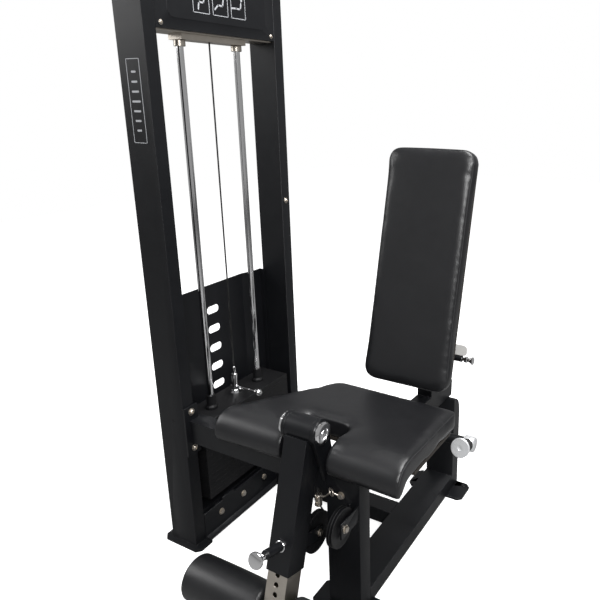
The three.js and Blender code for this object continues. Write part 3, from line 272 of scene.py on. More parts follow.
def rubber():
    """Moulded rubber with a bloom of grey in the hollows."""
    soft = Finish("rubber")
    bloom = soft.noise(60.0, 5.0)
    soft.feed("Base Color", soft.colours(bloom, (0.010, 0.010, 0.010), (0.026, 0.026, 0.027)))
    soft.feed("Roughness", 0.62 + 0.2 * bloom)
    soft.feed("Normal", soft.bump(soft.cells(500.0), 0.0003, 0.3))
    return soft.material


def moulded_plastic():
    """Black moulded nylon with a fine spark texture."""
    nylon = Finish("moulded_plastic", Specular_IOR_Level=0.3)
    spark = nylon.noise(420.0, 3.0)
    nylon.feed("Base Color", nylon.colours(spark, (0.0040, 0.0040, 0.0046),
                                           (0.0090, 0.0090, 0.0100)))
    nylon.feed("Roughness", 0.34 + 0.2 * spark)
    nylon.feed("Normal", nylon.bump(spark, 0.0001, 0.3))
    return nylon.material


def cable_jacket():
    """Glossy black jacket with the lay of the rope showing through."""
    jacket = Finish("cable_jacket", Coat_Weight=0.3)
    lay = jacket.noise(1.0, 1.0, where=jacket.stretched((500.0, 500.0, 240.0)))
    jacket.feed("Base Color", jacket.colours(lay, (0.006, 0.006, 0.006), (0.016, 0.016, 0.016)))
    jacket.feed("Roughness", 0.22 + 0.16 * lay)
    jacket.feed("Normal", jacket.bump(lay, 0.0002, 0.4))
    return jacket.material


def stained_board():
    """Plywood stained black, with its grain running front to back."""
    board = Finish("stained_board")
    grain = board.noise(1.0, 5.0, where=board.stretched((60.0, 6.0, 200.0)))
    board.feed("Base Color", board.colours(grain, (0.012, 0.010, 0.008), (0.045, 0.036, 0.028)))
    board.feed("Roughness", 0.6 + 0.2 * grain)
    board.feed("Normal", board.bump(grain, 0.0004, 0.5))
    return board.material


def placard_ink():
    """Pale grey screen print, a little thin in places."""
    ink = Finish("placard_ink")
    thin = ink.noise(300.0, 3.0)
    ink.feed("Base Color", ink.colours(thin, (0.30, 0.31, 0.33), (0.52, 0.53, 0.55)))
    ink.feed("Roughness", 0.4 + 0.15 * thin)
    ink.feed("Normal", ink.bump(thin, 0.00005, 0.3))
    return ink.material


def studio_floor():
    """Pale seamless paper, lit from behind for the eye but dull to the surfaces above it."""
    paper = Finish("studio_floor", Emission_Strength=FLOOR_GLOW)
    fibre = paper.noise(3.0, 3.0)
    seen = paper.add("ShaderNodeLightPath")
    pale = paper.colours(fibre, (0.86, 0.86, 0.86), (0.90, 0.90, 0.90))
    paper.feed("Base Color", paper.colours(seen, (0.22, 0.22, 0.22), pale))
    paper.feed("Emission Color", paper.colours(seen, (0.0, 0.0, 0.0), (1.0, 1.0, 1.0)))
    paper.feed("Roughness", 0.75 + 0.1 * fibre)
    return paper.material


FINISHES = {
    "powder_coat": powder_coat(), "zinc_plate": zinc_plate(), "chrome": chrome(),
    "stack_iron": stack_iron(), "upholstery": upholstery(), "rubber": rubber(),
    "plastic": moulded_plastic(), "cable_jacket": cable_jacket(), "plywood": stained_board(),
    "aluminium": turned_alloy(),
}
THREAD = thread()
INK = placard_ink()


# ------------------------------------------------------------------ making meshes

def dress(piece, body, slot, material=None, angle=35.0):
    """Gives a piece its finish, its body and smooth shading up to an angle between faces."""
    piece.data.materials.clear()
    piece.data.materials.append(material or FINISHES[slot])
    piece.data.shade_smooth()
    piece.data.set_sharp_from_angle(angle=math.radians(angle))
    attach(piece, body)
    return piece


def put_in_scene(name, data):
    """A new object holding a mesh, a light or a camera."""
    thing = bpy.data.objects.new(name, data)
    bpy.context.scene.collection.objects.link(thing)
    return thing


def from_arrays(name, points, faces):
    mesh = bpy.data.meshes.new(name)
    mesh.from_pydata(points.tolist(), [], faces)
    mesh.update()
    return put_in_scene(name, mesh)


def grid_faces(rows, columns, wrap_rows=False, wrap_columns=True):
    """Quads between neighbouring rows and columns of a grid, round both ways if asked."""
    r = np.arange(rows if wrap_rows else rows - 1)[:, None]
    c = np.arange(columns if wrap_columns else columns - 1)[None, :]
    r2 = (r + 1) % rows
    c2 = (c + 1) % columns
    corners = [r * columns + c, r * columns + c2, r2 * columns + c2, r2 * columns + c]
    quads = np.stack(corners, axis=-1)
    return quads.reshape(-1, 4).tolist()


def end_faces(rows, sides):
    """The two faces that close the first and the last ring."""
    return [list(range(sides))[::-1], [(rows - 1) * sides + i for i in range(sides)]]


def mm(pairs):
    """Profile points given in millimetres."""
    return [(a * MM, b * MM) for a, b in pairs]


def two_sided(half):
    """A profile and its mirror image; a point on the middle is kept once."""
    return [(-a, r) for a, r in half[::-1]] + (half[1:] if half[0][0] == 0 else half)


def basis(direction):
    """Three unit vectors, the first along the direction, the others across it."""
    along = np.array(direction, float)
    along /= np.linalg.norm(along)
    helper = np.array((0.0, 0.0, 1.0)) if abs(along[2]) < 0.9 else np.array((0.0, 1.0, 0.0))
    across = np.cross(helper, along)
    across /= np.linalg.norm(across)
    return along, across, np.cross(along, across)


def turned(name, profile, at, direction, sides=64):
    """Carries (distance along, radius) points round an axis and closes both ends."""
    along, u, v = basis(direction)
    profile = np.array(profile, float)
    angle = np.linspace(0, 2 * math.pi, sides, endpoint=False)
    ring = np.cos(angle)[:, None] * u + np.sin(angle)[:, None] * v
    points = np.array(at) + profile[:, None, :1] * along + profile[:, None, 1:] * ring[None]
    faces = grid_faces(len(profile), sides) + end_faces(len(profile), sides)
    return outward(from_arrays(name, points.reshape(-1, 3), faces))


def swept(name, path, radius, sides=8, closed=False):
    """A circle carried along a path of points, square to it, with capped or joined ends."""
    path = np.array(path, float)
    if closed:
        ahead = np.roll(path, -1, axis=0) - np.roll(path, 1, axis=0)
    else:
        ahead = np.gradient(path, axis=0)
    ahead /= np.linalg.norm(ahead, axis=1, keepdims=True)
    upright = np.abs(ahead[:, 2:3]) >= 0.8
    spare = np.where(upright, np.array([[1.0, 0, 0]]), np.array([[0, 0, 1.0]]))
    u = np.cross(spare, ahead)
    u /= np.linalg.norm(u, axis=1, keepdims=True)
    v = np.cross(ahead, u)
    angle = np.linspace(0, 2 * math.pi, sides, endpoint=False)[None, :, None]
    points = path[:, None] + radius * (np.cos(angle) * u[:, None] + np.sin(angle) * v[:, None])
    faces = grid_faces(len(path), sides, wrap_rows=closed)
    if not closed:
        faces += end_faces(len(path), sides)
    return outward(from_arrays(name, points.reshape(-1, 3), faces))


def outward(piece):
    """Turns every face of a closed piece outwards."""
    work = bmesh.new()
    work.from_mesh(piece.data)
    bmesh.ops.recalc_face_normals(work, faces=work.faces[:])
    work.to_mesh(piece.data)
    work.free()
    return piece


def joined(name, pieces):
    """Several meshes as one piece."""
    work = bmesh.new()
    for piece in pieces:
        work.from_mesh(piece.data)
    mesh = bpy.data.meshes.new(name)
    work.to_mesh(mesh)
    work.free()
    for piece in pieces:
        bpy.data.objects.remove(piece)
    return put_in_scene(name, mesh)


def copy_of(node, name):
    """A copy of a frame node with its loose triangles merged and its flat faces made whole."""
    mesh = frame["nodes"][node].data.copy()
    mesh.name = name
    work = bmesh.new()
    work.from_mesh(mesh)
    bmesh.ops.remove_doubles(work, verts=work.verts[:], dist=1e-5)
    bmesh.ops.dissolve_limit(work, angle_limit=math.radians(0.6), verts=work.verts[:],
                             edges=work.edges[:])
    work.to_mesh(mesh)
    work.free()
    return put_in_scene(name, mesh)


def eased(node, width):
    """The node again with every sharp edge rolled over, as tube corners and cut plates have."""
    piece = copy_of(node, node + "_eased")
    bevel = piece.modifiers.new("rolled_edges", "BEVEL")
    bevel.width = width
    bevel.segments = 2
    bevel.limit_method = "ANGLE"
    bevel.angle_limit = math.radians(40)
    bevel.use_clamp_overlap = True
    dress(piece, body_of(node), SLOT_OF[node], OTHER_FINISH.get(node), angle=38.0)
    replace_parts(piece, node)


def body_of(node):
    bodies = frame["record"]["behaviour"]["bodies"]
    return next(body for body, nodes in bodies.items() if node in nodes)


SLOT_OF = {part["node"]: part["material_slot"] for part in frame["record"]["subparts"]}


# ------------------------------------------------------------------ frame nodes

STACK_EDGE = 1.6
EASED = {            # millimetres of rounding on the edges
    "tower_front_post": 4.0, "tower_rear_post": 4.0, "tower_head_beam": 3.0, "rod_beam": 2.0,
    "tower_base": 1.2, "placard": 0.8, "seat_beam": 3.0, "seat_front_post": 4.0,
    "seat_base": 4.0, "base_bar": 3.0, "yoke_left": 1.2, "yoke_right": 1.2, "lever_arm": 3.0,
    "shin_tube": 2.0, "back_frame": 3.0, "index_plate": 0.8, "back_slide": 2.0,
    "top_plate": STACK_EDGE, "weight_plates_lower": STACK_EDGE,
    **{"weight_plate_%d" % i: STACK_EDGE for i in range(1, 7)},
}
# The index plate gets a lit copy of the zinc: painted light makes it almost white all over.
OTHER_FINISH = {"index_plate": pale_zinc_painted_lit()}


def dress_frame_nodes():
    for node, thing in frame["nodes"].items():
        thing.data.materials.clear()
        thing.data.materials.append(FINISHES[SLOT_OF[node]])
    for node, width in EASED.items():
        eased(node, width * MM)


def middle(node):
    low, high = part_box(node)
    return (low + high) / 2


def round_copy(node, profile, at, direction, slot, sides=72):
    """A finely turned piece in place of a coarse round node."""
    piece = turned(node + "_turned", profile, at, direction, sides)
    dress(piece, body_of(node), slot)
    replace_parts(piece, node)


def guide_rods():
    for node in ("front_guide_rod", "rear_guide_rod"):
        low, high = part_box(node)
        r = (high.x - low.x) / 2
        at = middle(node)
        half = (high.z - low.z) / 2
        chamfer = 1.5 * MM
        profile = [(-half, r - chamfer), (chamfer - half, r), (half - chamfer, r),
                   (half, r - chamfer)]
        round_copy(node, profile, at, (0, 0, 1), "chrome")


def tower_collars():
    """Dark shaft collars on the rods where they enter the rod beam."""
    collars = []
    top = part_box("rod_beam")[0].z - 0.5 * MM
    profile = mm([(-16, 14), (-15, 15.5), (-1, 15.5), (0, 14.5)])
    for node in ("front_guide_rod", "rear_guide_rod"):
        at = middle(node)
        collars.append(turned("collar", profile, (at.x, at.y, top), (0, 0, 1), 40))
    dress(joined("rod_collars", collars), "frame", "zinc_plate")


# ------------------------------------------------------------------ fasteners

def socket_bolt(at, direction, radius=6.5 * MM, height=5.0 * MM):
    """A button-head bolt: a shallow dome with a sunk socket, on a thin washer."""
    base = 1.6 * MM
    washer = [(0, radius * 1.45), (1.2 * MM, radius * 1.45), (base, radius * 1.38), (base, radius)]
    dome = [(base + height * math.sin(a), radius * math.cos(a) ** 0.7)
            for a in np.linspace(0.05, 1.2, 6)]
    top = dome[-1][0]
    socket = [(top, radius * 0.42), (top - height * 0.55, radius * 0.40),
              (top - height * 0.6, radius * 0.05)]
    return turned("bolt", washer + dome + socket, at, direction, 24)


def hex_nut(at, direction, radius=9.0 * MM, height=7.0 * MM):
    """A hexagonal head on a washer, its corners chamfered."""
    washer = turned("washer", [(0, radius * 1.25), (1.5 * MM, radius * 1.25)], at, direction, 28)
    profile = [(1.5 * MM, radius * 0.97), (2.2 * MM, radius), (height, radius),
               (height + 1.0 * MM, radius * 0.86)]
    head = turned("head", profile, at, direction, 6)
    return joined("nut", [washer, head])


def lever_point(x, y, z):
    """A point given in the lever's own frame, in millimetres from the pivot."""
    c, s = math.cos(LEVER_TILT), math.sin(LEVER_TILT)
    return PIVOT + Vector((x, y * c + z * s, z * c - y * s)) * MM


def lever_vector(y, z):
    c, s = math.cos(LEVER_TILT), math.sin(LEVER_TILT)
    return Vector((0, y * c + z * s, z * c - y * s))


def machine_point(x, y, z):
    """A point in millimetres, before the footprint is centred."""
    return Vector(((x + SHIFT[0]) * MM, (y + SHIFT[1]) * MM, z * MM))


def joint(name):
    return next(j for j in frame["joints"] if j["name"] == name)


PIVOT = Vector(joint("lever_pivot")["pos_m"])


def frame_bolts():
    """Bolts of the joints between the welded frames, the placard and the base angle."""
    bolts = []
    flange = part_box("seat_beam")[0]
    for z in FLANGE_BOLT_HEIGHTS:
        at = (flange.x + 6 * MM, flange.y + 26 * MM, z * MM)
        bolts.append(socket_bolt(at, (1, 0, 0), 7.5 * MM, 6 * MM))
    web_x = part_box("tower_front_post")[1].x - 25 * MM + 2 * MM
    for y in ANGLE_BOLT_PLACES:
        bolts.append(hex_nut((web_x, (y + SHIFT[1]) * MM, 60 * MM), (1, 0, 0), 8.5 * MM, 6 * MM))
    low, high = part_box("placard")
    for y in (low.y + 16 * MM, high.y - 16 * MM):
        for z in (low.z + 13 * MM, high.z - 13 * MM):
            at = (high.x - 1.0 * MM, y, z)
            bolts.append(socket_bolt(at, (1, 0, 0), 4.5 * MM, 2.6 * MM))
    low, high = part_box("tower_rear_post")
    at = (high.x - 25 * MM, (low.y + high.y) / 2, REAR_BOLT_HEIGHT * MM)
    bolts.append(socket_bolt(at, (1, 0, 0)))
    dress(joined("frame_bolts", bolts), "frame", "zinc_plate")


def foot_plug():
    """A dark plug in the seat frame's rear foot."""
    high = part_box("seat_base")[1]
    profile = mm([(0, 9), (1.5, 9), (2.2, 7.5), (0.8, 6), (0.8, 0.3)])
    at = (high.x - 20 * MM, high.y - 16 * MM, 8 * MM)
    dress(turned("foot_plug", profile, at, (0, 0, 1), 32), "frame", "plastic")


def pulley_bolts():
    for node, body, reach in (("frame_pulley", "frame", 15.2), ("lever_pulley", "lever", 13.2)):
        at = middle(node)
        bolt = hex_nut((at.x + reach * MM, at.y, at.z), (1, 0, 0), 8.5 * MM, 6 * MM)
        other = hex_nut((at.x - reach * MM, at.y, at.z), (-1, 0, 0), 8.5 * MM, 6 * MM)
        dress(joined(node + "_bolt", [bolt, other]), body, "zinc_plate")


def cable_fittings():
    """Eye bolt on the seat's front post, the link beside it and the clamp on the rope."""
    nut = hex_nut(machine_point(208, -188.4, 365), (0, -1, 0), 8.5 * MM, 7 * MM)
    turn = np.linspace(0, 2 * math.pi, 28, endpoint=False)
    eye = [machine_point(184 + 9 * math.cos(a), -197 - 5 * math.cos(a), 372 + 9 * math.sin(a))
           for a in turn]
    ring = swept("eye", eye, 2.6 * MM, 10, closed=True)
    stem = [machine_point(207 - 14 * t, -193 - 4 * t, 366 + 5 * t) for t in np.linspace(0, 1, 5)]
    shank = swept("shank", stem, 3.2 * MM, 12)
    link = [machine_point(178 - 40 * t, -196 + 14 * t, 366 - 30 * t - 6 * math.sin(math.pi * t))
            for t in np.linspace(0, 1, 9)]
    strap = swept("strap", link, 2.8 * MM, 10)
    x, y, z = CLAMP
    sleeve = turned("sleeve", mm([(-17, 8.6), (-16, 9.6), (16, 9.6), (17, 8.6)]),
                    machine_point(x, y, z), (0, 0, 1), 28)
    nuts = [hex_nut(machine_point(x, y - 9.4, z + dz), (0, -1, 0), 4.5 * MM, 4 * MM)
            for dz in (-8, 8)]
    pieces = [nut, ring, shank, strap, sleeve] + nuts
    dress(joined("cable_fittings", pieces), "frame", "zinc_plate")


# ------------------------------------------------------------------ pivot and pins

def pivot_caps():
    """Turned caps with a cone, a dark recess ring and a screw, one at each end of the shaft."""
    r = 28.5
    steps = [(0, r - 1), (1, r), (9, r), (11.5, r - 2.5), (12, r - 4), (12, r * 0.52),
             (8.5, r * 0.47), (8.5, r * 0.34), (10.5, r * 0.30), (10.5, r * 0.02)]
    profile = mm([(CAP_INNER + a, radius) for a, radius in steps])
    for node, side in (("pivot_shaft", -1), ("pivot_cap", 1)):
        round_copy(node, profile, PIVOT, (side, 0, 0), "chrome", 96)


def lever_pin():
    """Sprung pin: shaft, stepped neck and a mushroom knob with a flat face."""
    out = -lever_vector(1, 0)
    at = lever_point(0, 0, -292)
    profile = [(30.4, 4.9), (31.4, 6), (104.4, 6), (104.4, 9.6), (110, 9.6), (111, 7.4),
               (113.5, 7.0), (117, 8.0), (121, 12.0), (124, 17.4), (126, 20.0), (127.6, 20.5),
               (131, 20.5), (132.5, 19.6), (133, 18.2), (133, 0.3)]
    round_copy("lever_pin", mm(profile), at, out, "chrome")
    housing = [(31.8, 6.4), (31.8, 8), (38.8, 8), (38.8, 12), (92.5, 12), (94, 10.6), (94, 6.4)]
    round_copy("lever_pin_housing", mm(housing), at, out, "powder_coat")
    rim = [(34.3, 8.3), (34.3, 14.6), (37.4, 14.6), (38.5, 13.4), (38.5, 8.3)]
    dress(turned("pin_ring", mm(rim), at, out, 64), "lever", "chrome")


def back_pin():
    low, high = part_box("back_pin")
    at = (0, middle("back_pin").y, middle("back_pin").z)
    from_end = [(27.6, 5.4), (27.6, 9.4), (20, 9.4), (18.6, 6.0), (13, 6.4), (8, 8.6),
                (4.5, 11.4), (3, 12), (1, 12), (0, 11.2), (0, 0.3)]
    profile = [(low.x, 4.4 * MM), (low.x + 1 * MM, 5.4 * MM)]
    profile += [(high.x - a * MM, r * MM) for a, r in from_end]
    round_copy("back_pin", profile, at, (1, 0, 0), "chrome")


def selector_pin():
    """The parked pin: a thin rod with a ball end and a small collar."""
    low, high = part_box("selector_pin")
    at = middle("selector_pin")
    r = (high.z - low.z) / 2
    ball = high.x - r
    angle = np.linspace(-1.22, math.pi / 2 - 0.02, 22)
    profile = [(low.x, 2.6 * MM), (low.x + 2 * MM, 4 * MM), (ball - r * 1.25, 4 * MM),
               (ball - r * 1.2, 6 * MM), (ball - r * 0.94, 6 * MM)]
    profile += [(ball + r * math.sin(a), r * math.cos(a)) for a in angle[1:]]
    round_copy("selector_pin", profile, (0, at.y, at.z), (1, 0, 0), "chrome")


def stem_top():
    """The rope ferrule on the end of the stem and the nut above the top plate."""
    at = middle("selector_stem")
    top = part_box("selector_stem")[1].z
    ferrule = turned("ferrule", mm([(0.3, 4.5), (1, 5.2), (20, 5.2), (24, 3.2)]),
                     (at.x, at.y, top), (0, 0, 1), 32)
    nut = turned("nut", mm([(0, 12.0), (1, 13.0), (8, 13.0), (9, 12.0)]),
                 (at.x, at.y, top - 66 * MM), (0, 0, 1), 6)
    dress(joined("stem_fittings", [ferrule, nut]), "stack", "chrome")


def handles():
    """Hub, stub and turned cap of each handle, and its ribbed rubber grip."""
    out = Vector((0, -math.cos(HANDLE_TILT), math.sin(HANDLE_TILT)))
    bar_y = middle("handle_bar").y
    bar_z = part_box("handle_bar")[0].z + 16 * MM
    hub_profile = mm([(-17, 20), (-15.4, 22.2), (-14, 23), (13, 23), (15.6, 21.6), (17, 19),
                      (17, 0.3)])
    cap = mm([(10, 10), (78, 10), (78, 27.2), (78.8, 28), (84.6, 28), (86, 26.4), (86, 7.4),
              (84.4, 6.8), (84.4, 4.2), (82.6, 3.8), (82.6, 0.2)])
    ribs = [(a, 18 - 0.8 * (i % 2)) for i, a in enumerate(np.arange(24.5, 77.0, 2.5))]
    sleeve = mm([(23.5, 10.4), (23.5, 17)] + ribs + [(77.5, 17), (77.5, 10.4)])
    for hand, side in (("left", -1), ("right", 1)):
        node, grip = "handle_end_" + hand, "handle_grip_" + hand
        at = Vector((middle(node).x, bar_y, bar_z))
        hub = turned("hub", hub_profile, at, (side, 0, 0), 72)
        stub = turned("stub", cap, at, out, 96)
        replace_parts(dress(joined(node + "_turned", [hub, stub]), "frame", "aluminium"), node)
        rubber_sleeve = turned(grip + "_ribbed", sleeve, at, out, 64)
        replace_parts(dress(rubber_sleeve, "frame", "rubber"), grip)


def pulley_wheels():
    """Grooved wheels with a dished web and a hub."""
    double = [(0, 50), (1.2, 50), (3, 43), (4.8, 43), (6.8, 50), (8, 50), (8, 46), (6.4, 43),
              (6.4, 17), (8, 15), (8, 5), (20, 5)]
    single = [(2.3, 50), (4.6, 56.5), (7, 56.5), (7, 52), (5, 49), (5, 16), (7, 14), (7, 5),
              (14, 5)]
    for node, half in (("frame_pulley", double), ("lever_pulley", single)):
        round_copy(node, mm(two_sided(half)), middle(node), (1, 0, 0), "plastic", 96)


# ------------------------------------------------------------------ upholstery

def swollen(node, name, shrink, cap, voxel=6.0 * MM, rounds=5, pressure=2.5):
    """The node's solid, softened and blown up a little by a cloth run, within a set distance."""
    piece = copy_of(node, name)
    bpy.context.view_layer.objects.active = piece
    remesh = piece.modifiers.new("voxels", "REMESH")
    remesh.mode = "VOXEL"
    remesh.voxel_size = voxel
    apply_modifiers(piece)
    smooth = piece.modifiers.new("soften", "SMOOTH")
    smooth.factor = 0.6
    smooth.iterations = rounds
    inward = piece.modifiers.new("shrink", "DISPLACE")
    inward.strength = -shrink
    inward.mid_level = 0.0
    apply_modifiers(piece)
    blow_up(piece, cap, pressure)
    relax = piece.modifiers.new("relax", "SMOOTH")
    relax.factor = 0.5
    relax.iterations = 14
    apply_modifiers(piece)
    finer = piece.modifiers.new("finer", "SUBSURF")
    finer.levels = 1
    finer.render_levels = 1
    apply_modifiers(piece)
    dress(piece, body_of(node), "upholstery", angle=180.0)
    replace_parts(piece, node)
    return piece


def apply_modifiers(piece):
    graph = bpy.context.evaluated_depsgraph_get()
    mesh = bpy.data.meshes.new_from_object(piece.evaluated_get(graph))
    piece.modifiers.clear()
    piece.data = mesh


def blow_up(piece, cap, pressure):
    """A short cloth run under pressure without gravity; no point then moves past the cap."""
    before = positions(piece.data)
    cloth = piece.modifiers.new("swell", "CLOTH")
    cloth.settings.use_pressure = True
    cloth.settings.uniform_pressure_force = pressure
    cloth.settings.effector_weights.gravity = 0.0
    cloth.settings.tension_stiffness = 40.0
    cloth.settings.compression_stiffness = 40.0
    cloth.settings.bending_stiffness = 6.0
    cloth.point_cache.frame_start = 1
    cloth.point_cache.frame_end = SWELL_FRAMES
    for step in range(1, SWELL_FRAMES + 1):
        bpy.context.scene.frame_set(step)
    apply_modifiers(piece)
    after = positions(piece.data)
    move = after - before
    length = np.linalg.norm(move, axis=1, keepdims=True)
    move *= np.minimum(1.0, cap / np.maximum(length, 1e-9))
    piece.data.vertices.foreach_set("co", (before + move).ravel())
    piece.data.update()
    bpy.context.scene.frame_set(1)


def positions(mesh):
    flat = np.empty(len(mesh.vertices) * 3)
    mesh.vertices.foreach_get("co", flat)
    return flat.reshape(-1, 3)


def onto(piece, path):
    """Moves path points to the nearest point of a piece, lifted off it a little."""
    laid = []
    for place in path:
        _, spot, normal, _ = piece.closest_point_on_mesh(Vector(place))
        laid.append(spot + normal * STITCH_LIFT)
    return smoothed(np.array([tuple(p) for p in laid]))


def smoothed(path, rounds=3):
    for _ in range(rounds):
        path[1:-1] = (path[:-2] + 2 * path[1:-1] + path[2:]) / 4
    return path


def seat_path():
    """Along the right top edge of the seat, from its back corner to the nose and down it."""
    c, s = math.cos(SEAT_TILT), math.sin(SEAT_TILT)
    turn_y, turn_z = SEAT_TURN

    def place(x, y, z):
        dy, dz = y - turn_y, z - turn_z
        return machine_point(x, turn_y + dy * c + dz * s, turn_z - dy * s + dz * c)

    top = [place(398.4 + 5.6 * t, 122 - 286 * t, 516) for t in np.linspace(0, 1, 60)]
    nose = [place(404, -164 - 66 * math.sin(a), 466 + 50 * math.cos(a))
            for a in np.linspace(0.1, 1.45, 26)]
    return top + nose


def back_outline(inset, depth):
    """The rounded outline of the back pad at a depth from its front face."""
    half, tall, r = BACK_HALF - inset, BACK_TALL - inset, BACK_CORNER - inset
    c, s = math.cos(RECLINE), math.sin(RECLINE)
    corners = [(half - r, tall - r), (-half + r, tall - r), (-half + r, inset + r),
               (half - r, inset + r)]
    flat = []
    for quarter, (cx, cz) in enumerate(corners):
        for a in np.linspace(0, math.pi / 2, 12):
            angle = quarter * math.pi / 2 + a
            flat.append((cx + r * math.cos(angle), cz + r * math.sin(angle)))
    flat = np.array(flat + flat[:1])
    steps = np.linalg.norm(np.diff(flat, axis=0), axis=1)
    run = np.concatenate([[0.0], np.cumsum(steps)])
    at = np.linspace(0, run[-1], 300)
    x, z = np.interp(at, run, flat[:, 0]), np.interp(at, run, flat[:, 1])
    foot_x, foot_y, foot_z = BACK_FOOT
    return [machine_point(foot_x + a, foot_y + depth * c + b * s, foot_z + b * c - depth * s)
            for a, b in zip(x, z)]


def seat_and_back():
    seat = swollen("seat_cushion", "seat_cover", 2.0 * MM, 7.0 * MM)
    back = swollen("back_pad", "back_cover", 2.0 * MM, 6.0 * MM)
    seam = swept("seat_seam", onto(seat, seat_path()), STITCH, 8)
    dress(seam, "frame", "upholstery", THREAD)
    for index, depth in enumerate((1.0, 44.0)):
        path = onto(back, back_outline(1.0, depth))
        seam = swept("back_seam_%d" % index, path[:-1], STITCH, 8, closed=True)
        dress(seam, "back_rest", "upholstery", THREAD)


def rollers():
    """Foam rollers in vinyl: a slightly crowned tube with turned-in ends."""
    r = 62 * MM
    edge = 11 * MM
    for node in ("shin_roller_left", "shin_roller_right"):
        low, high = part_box(node)
        half = (high.x - low.x) / 2
        flat = half - edge
        crown = [(x, r + 1.2 * MM * (1 - (x / flat) ** 2)) for x in np.linspace(0, flat, 12)]
        side = [(flat + edge * math.sin(a), r - edge + edge * math.cos(a))
                for a in np.linspace(0, math.pi / 2, 12)]
        end = [(half, r - 24 * MM), (half - 3 * MM, r - 30 * MM), (half - 2 * MM, 17.2 * MM)]
        profile = two_sided(crown[:-1] + side + end)
        piece = turned(node + "_cover", profile, middle(node), (1, 0, 0), 96)
        dress(piece, body_of(node), "upholstery", angle=60.0)
        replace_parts(piece, node)


# ------------------------------------------------------------------ placard

def slab(points_yz, x, thickness):
    """A flat outline in the upright plane of the placard, given a thickness along X."""
    outline = np.array(points_yz)
    n = len(outline)
    back = np.column_stack([np.full(n, x), outline])
    front = np.column_stack([np.full(n, x + thickness), outline])
    faces = [list(range(n)), [2 * n - 1 - i for i in range(n)]]
    faces += [[i, (i + 1) % n, n + (i + 1) % n, n + i] for i in range(n)]
    return outward(from_arrays("slab", np.vstack([back, front]), faces))


def capsule(a, b, width, x, thickness):
    """A round-ended stroke between two points of the placard."""
    a, b = np.array(a), np.array(b)
    heading = math.atan2(b[1] - a[1], b[0] - a[0])
    turn = np.linspace(-math.pi / 2, math.pi / 2, 7)
    near = [b + width / 2 * np.array((math.cos(heading + t), math.sin(heading + t))) for t in turn]
    far = [a - width / 2 * np.array((math.cos(heading + t), math.sin(heading + t))) for t in turn]
    return slab(near + far, x, thickness)


def border(centre, half_wide, half_tall, width, x, thickness):
    """Four strokes round a rectangle."""
    y, z = centre
    corners = [(y - half_wide, z - half_tall), (y + half_wide, z - half_tall),
               (y + half_wide, z + half_tall), (y - half_wide, z + half_tall)]
    return [capsule(a, b, width, x, thickness) for a, b in zip(corners, corners[1:] + corners[:1])]


def placard_figures():
    """Three plain frames, each with a seated figure whose shin swings up a little further."""
    low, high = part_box("placard")
    x = high.x + 0.2 * MM
    thick = 0.3 * MM
    half = 29 * MM
    turn = np.linspace(0, 2 * math.pi, 20, endpoint=False)
    parts = []
    for i in range(3):
        cy = (low.y + high.y) / 2 + (i - 1) * 72 * MM
        cz = low.z + 78 * MM
        parts += border((cy, cz), half, half, 1.8 * MM, x, thick)
        knee = (cy - 8 * MM, cz - 2 * MM)
        hip = (cy + 9 * MM, cz - 3 * MM)
        neck = (cy + 13 * MM, cz + 14 * MM)
        swing = math.radians(-80 + 38 * i)
        foot = (knee[0] - 18 * MM * math.cos(swing), knee[1] + 18 * MM * math.sin(swing))
        parts += [capsule(a, b, 4.5 * MM, x, thick)
                  for a, b in ((knee, hip), (hip, neck), (knee, foot))]
        head = [(neck[0] + 2 * MM + 4 * MM * math.cos(t), neck[1] + 7.5 * MM + 4 * MM * math.sin(t))
                for t in turn]
        parts.append(slab(head, x, thick))
    dress(joined("placard_figures", parts), "frame", "powder_coat", INK)


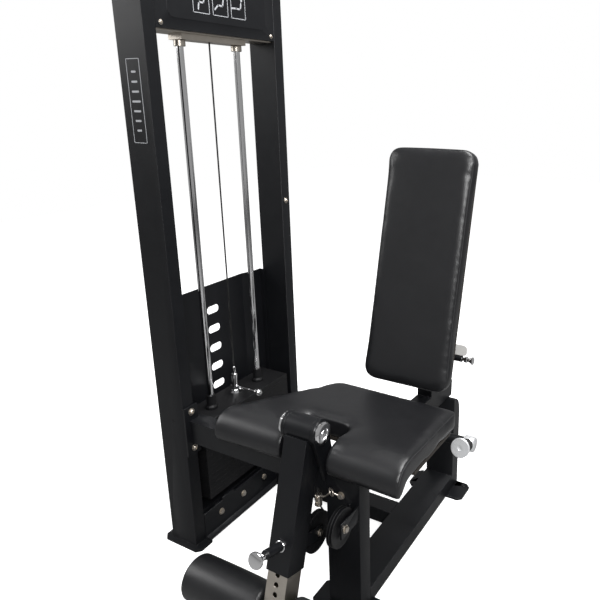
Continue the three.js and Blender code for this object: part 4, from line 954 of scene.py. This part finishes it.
def post_plate():
    """A bordered plate with a plain row of bars on the tower's front post."""
    x, thick = 0.2 * MM, 0.4 * MM
    parts = border((0, 0), 23 * MM, 103 * MM, 1.6 * MM, x, thick)
    for i in range(7):
        z = (-72 + 24 * i) * MM
        reach = (6 + 2.2 * (3 - abs(i - 3))) * MM
        parts.append(capsule((-reach, z), (reach, z), 5.0 * MM, x, thick))
    piece = joined("post_plate", parts)
    face = machine_point(-371, -204.5, 1334)
    piece.data.transform(Matrix.Translation(face) @ Matrix.Rotation(math.radians(-90), 4, "Z"))
    dress(piece, "frame", "powder_coat", INK)


# ------------------------------------------------------------------ studio

def surroundings():
    """White all round for the eye, weaker as a light on the surfaces."""
    world = bpy.data.worlds.new("studio")
    bpy.context.scene.world = world
    world.use_nodes = True
    tree = world.node_tree
    sky = tree.nodes["Background"]
    sky.inputs["Color"].default_value = (1.0, 1.0, 1.0, 1)
    seen = tree.nodes.new("ShaderNodeLightPath")
    strength = tree.nodes.new("ShaderNodeMapRange")
    strength.inputs["To Min"].default_value = SKY_LIGHT
    strength.inputs["To Max"].default_value = SKY_SEEN
    tree.links.new(seen.outputs["Is Camera Ray"], strength.inputs["Value"])
    tree.links.new(strength.outputs["Result"], sky.inputs["Strength"])


def studio():
    """Pale floor, white surroundings and three soft lamps."""
    corners = np.array([(-6, -5, 0), (6, -5, 0), (6, 9, 0), (-6, 9, 0)], float)
    paper = from_arrays("floor", corners, [[0, 1, 2, 3]])
    paper.data.materials.append(studio_floor())
    bpy.context.scene.view_settings.view_transform = "Standard"
    surroundings()
    for name, place, size, power in LAMPS:
        light = bpy.data.lights.new(name, "AREA")
        light.size = size
        light.energy = power
        lamp = put_in_scene(name, light)
        lamp.location = place
        aim = LAMP_AIM - Vector(place)
        lamp.rotation_euler = aim.to_track_quat("-Z", "Y").to_euler()


def camera():
    """Standing eye height, in front and to the right, looking slightly down."""
    data = bpy.data.cameras.new("camera")
    data.sensor_width = 36.0
    data.lens = 36.25
    data.shift_x = -0.1485
    data.shift_y = -0.0508
    eye = put_in_scene("camera", data)
    eye.location = (0.955, -1.33232, 1.342)
    eye.rotation_euler = (math.radians(90 - 15.83), 0, math.radians(28.34))
    bpy.context.scene.camera = eye


# ------------------------------------------------------------------ all of it

camera()
studio()
dress_frame_nodes()
guide_rods()
tower_collars()
frame_bolts()
foot_plug()
pulley_bolts()
pulley_wheels()
cable_fittings()
pivot_caps()
lever_pin()
back_pin()
selector_pin()
stem_top()
handles()
rollers()
seat_and_back()
placard_figures()
post_plate()
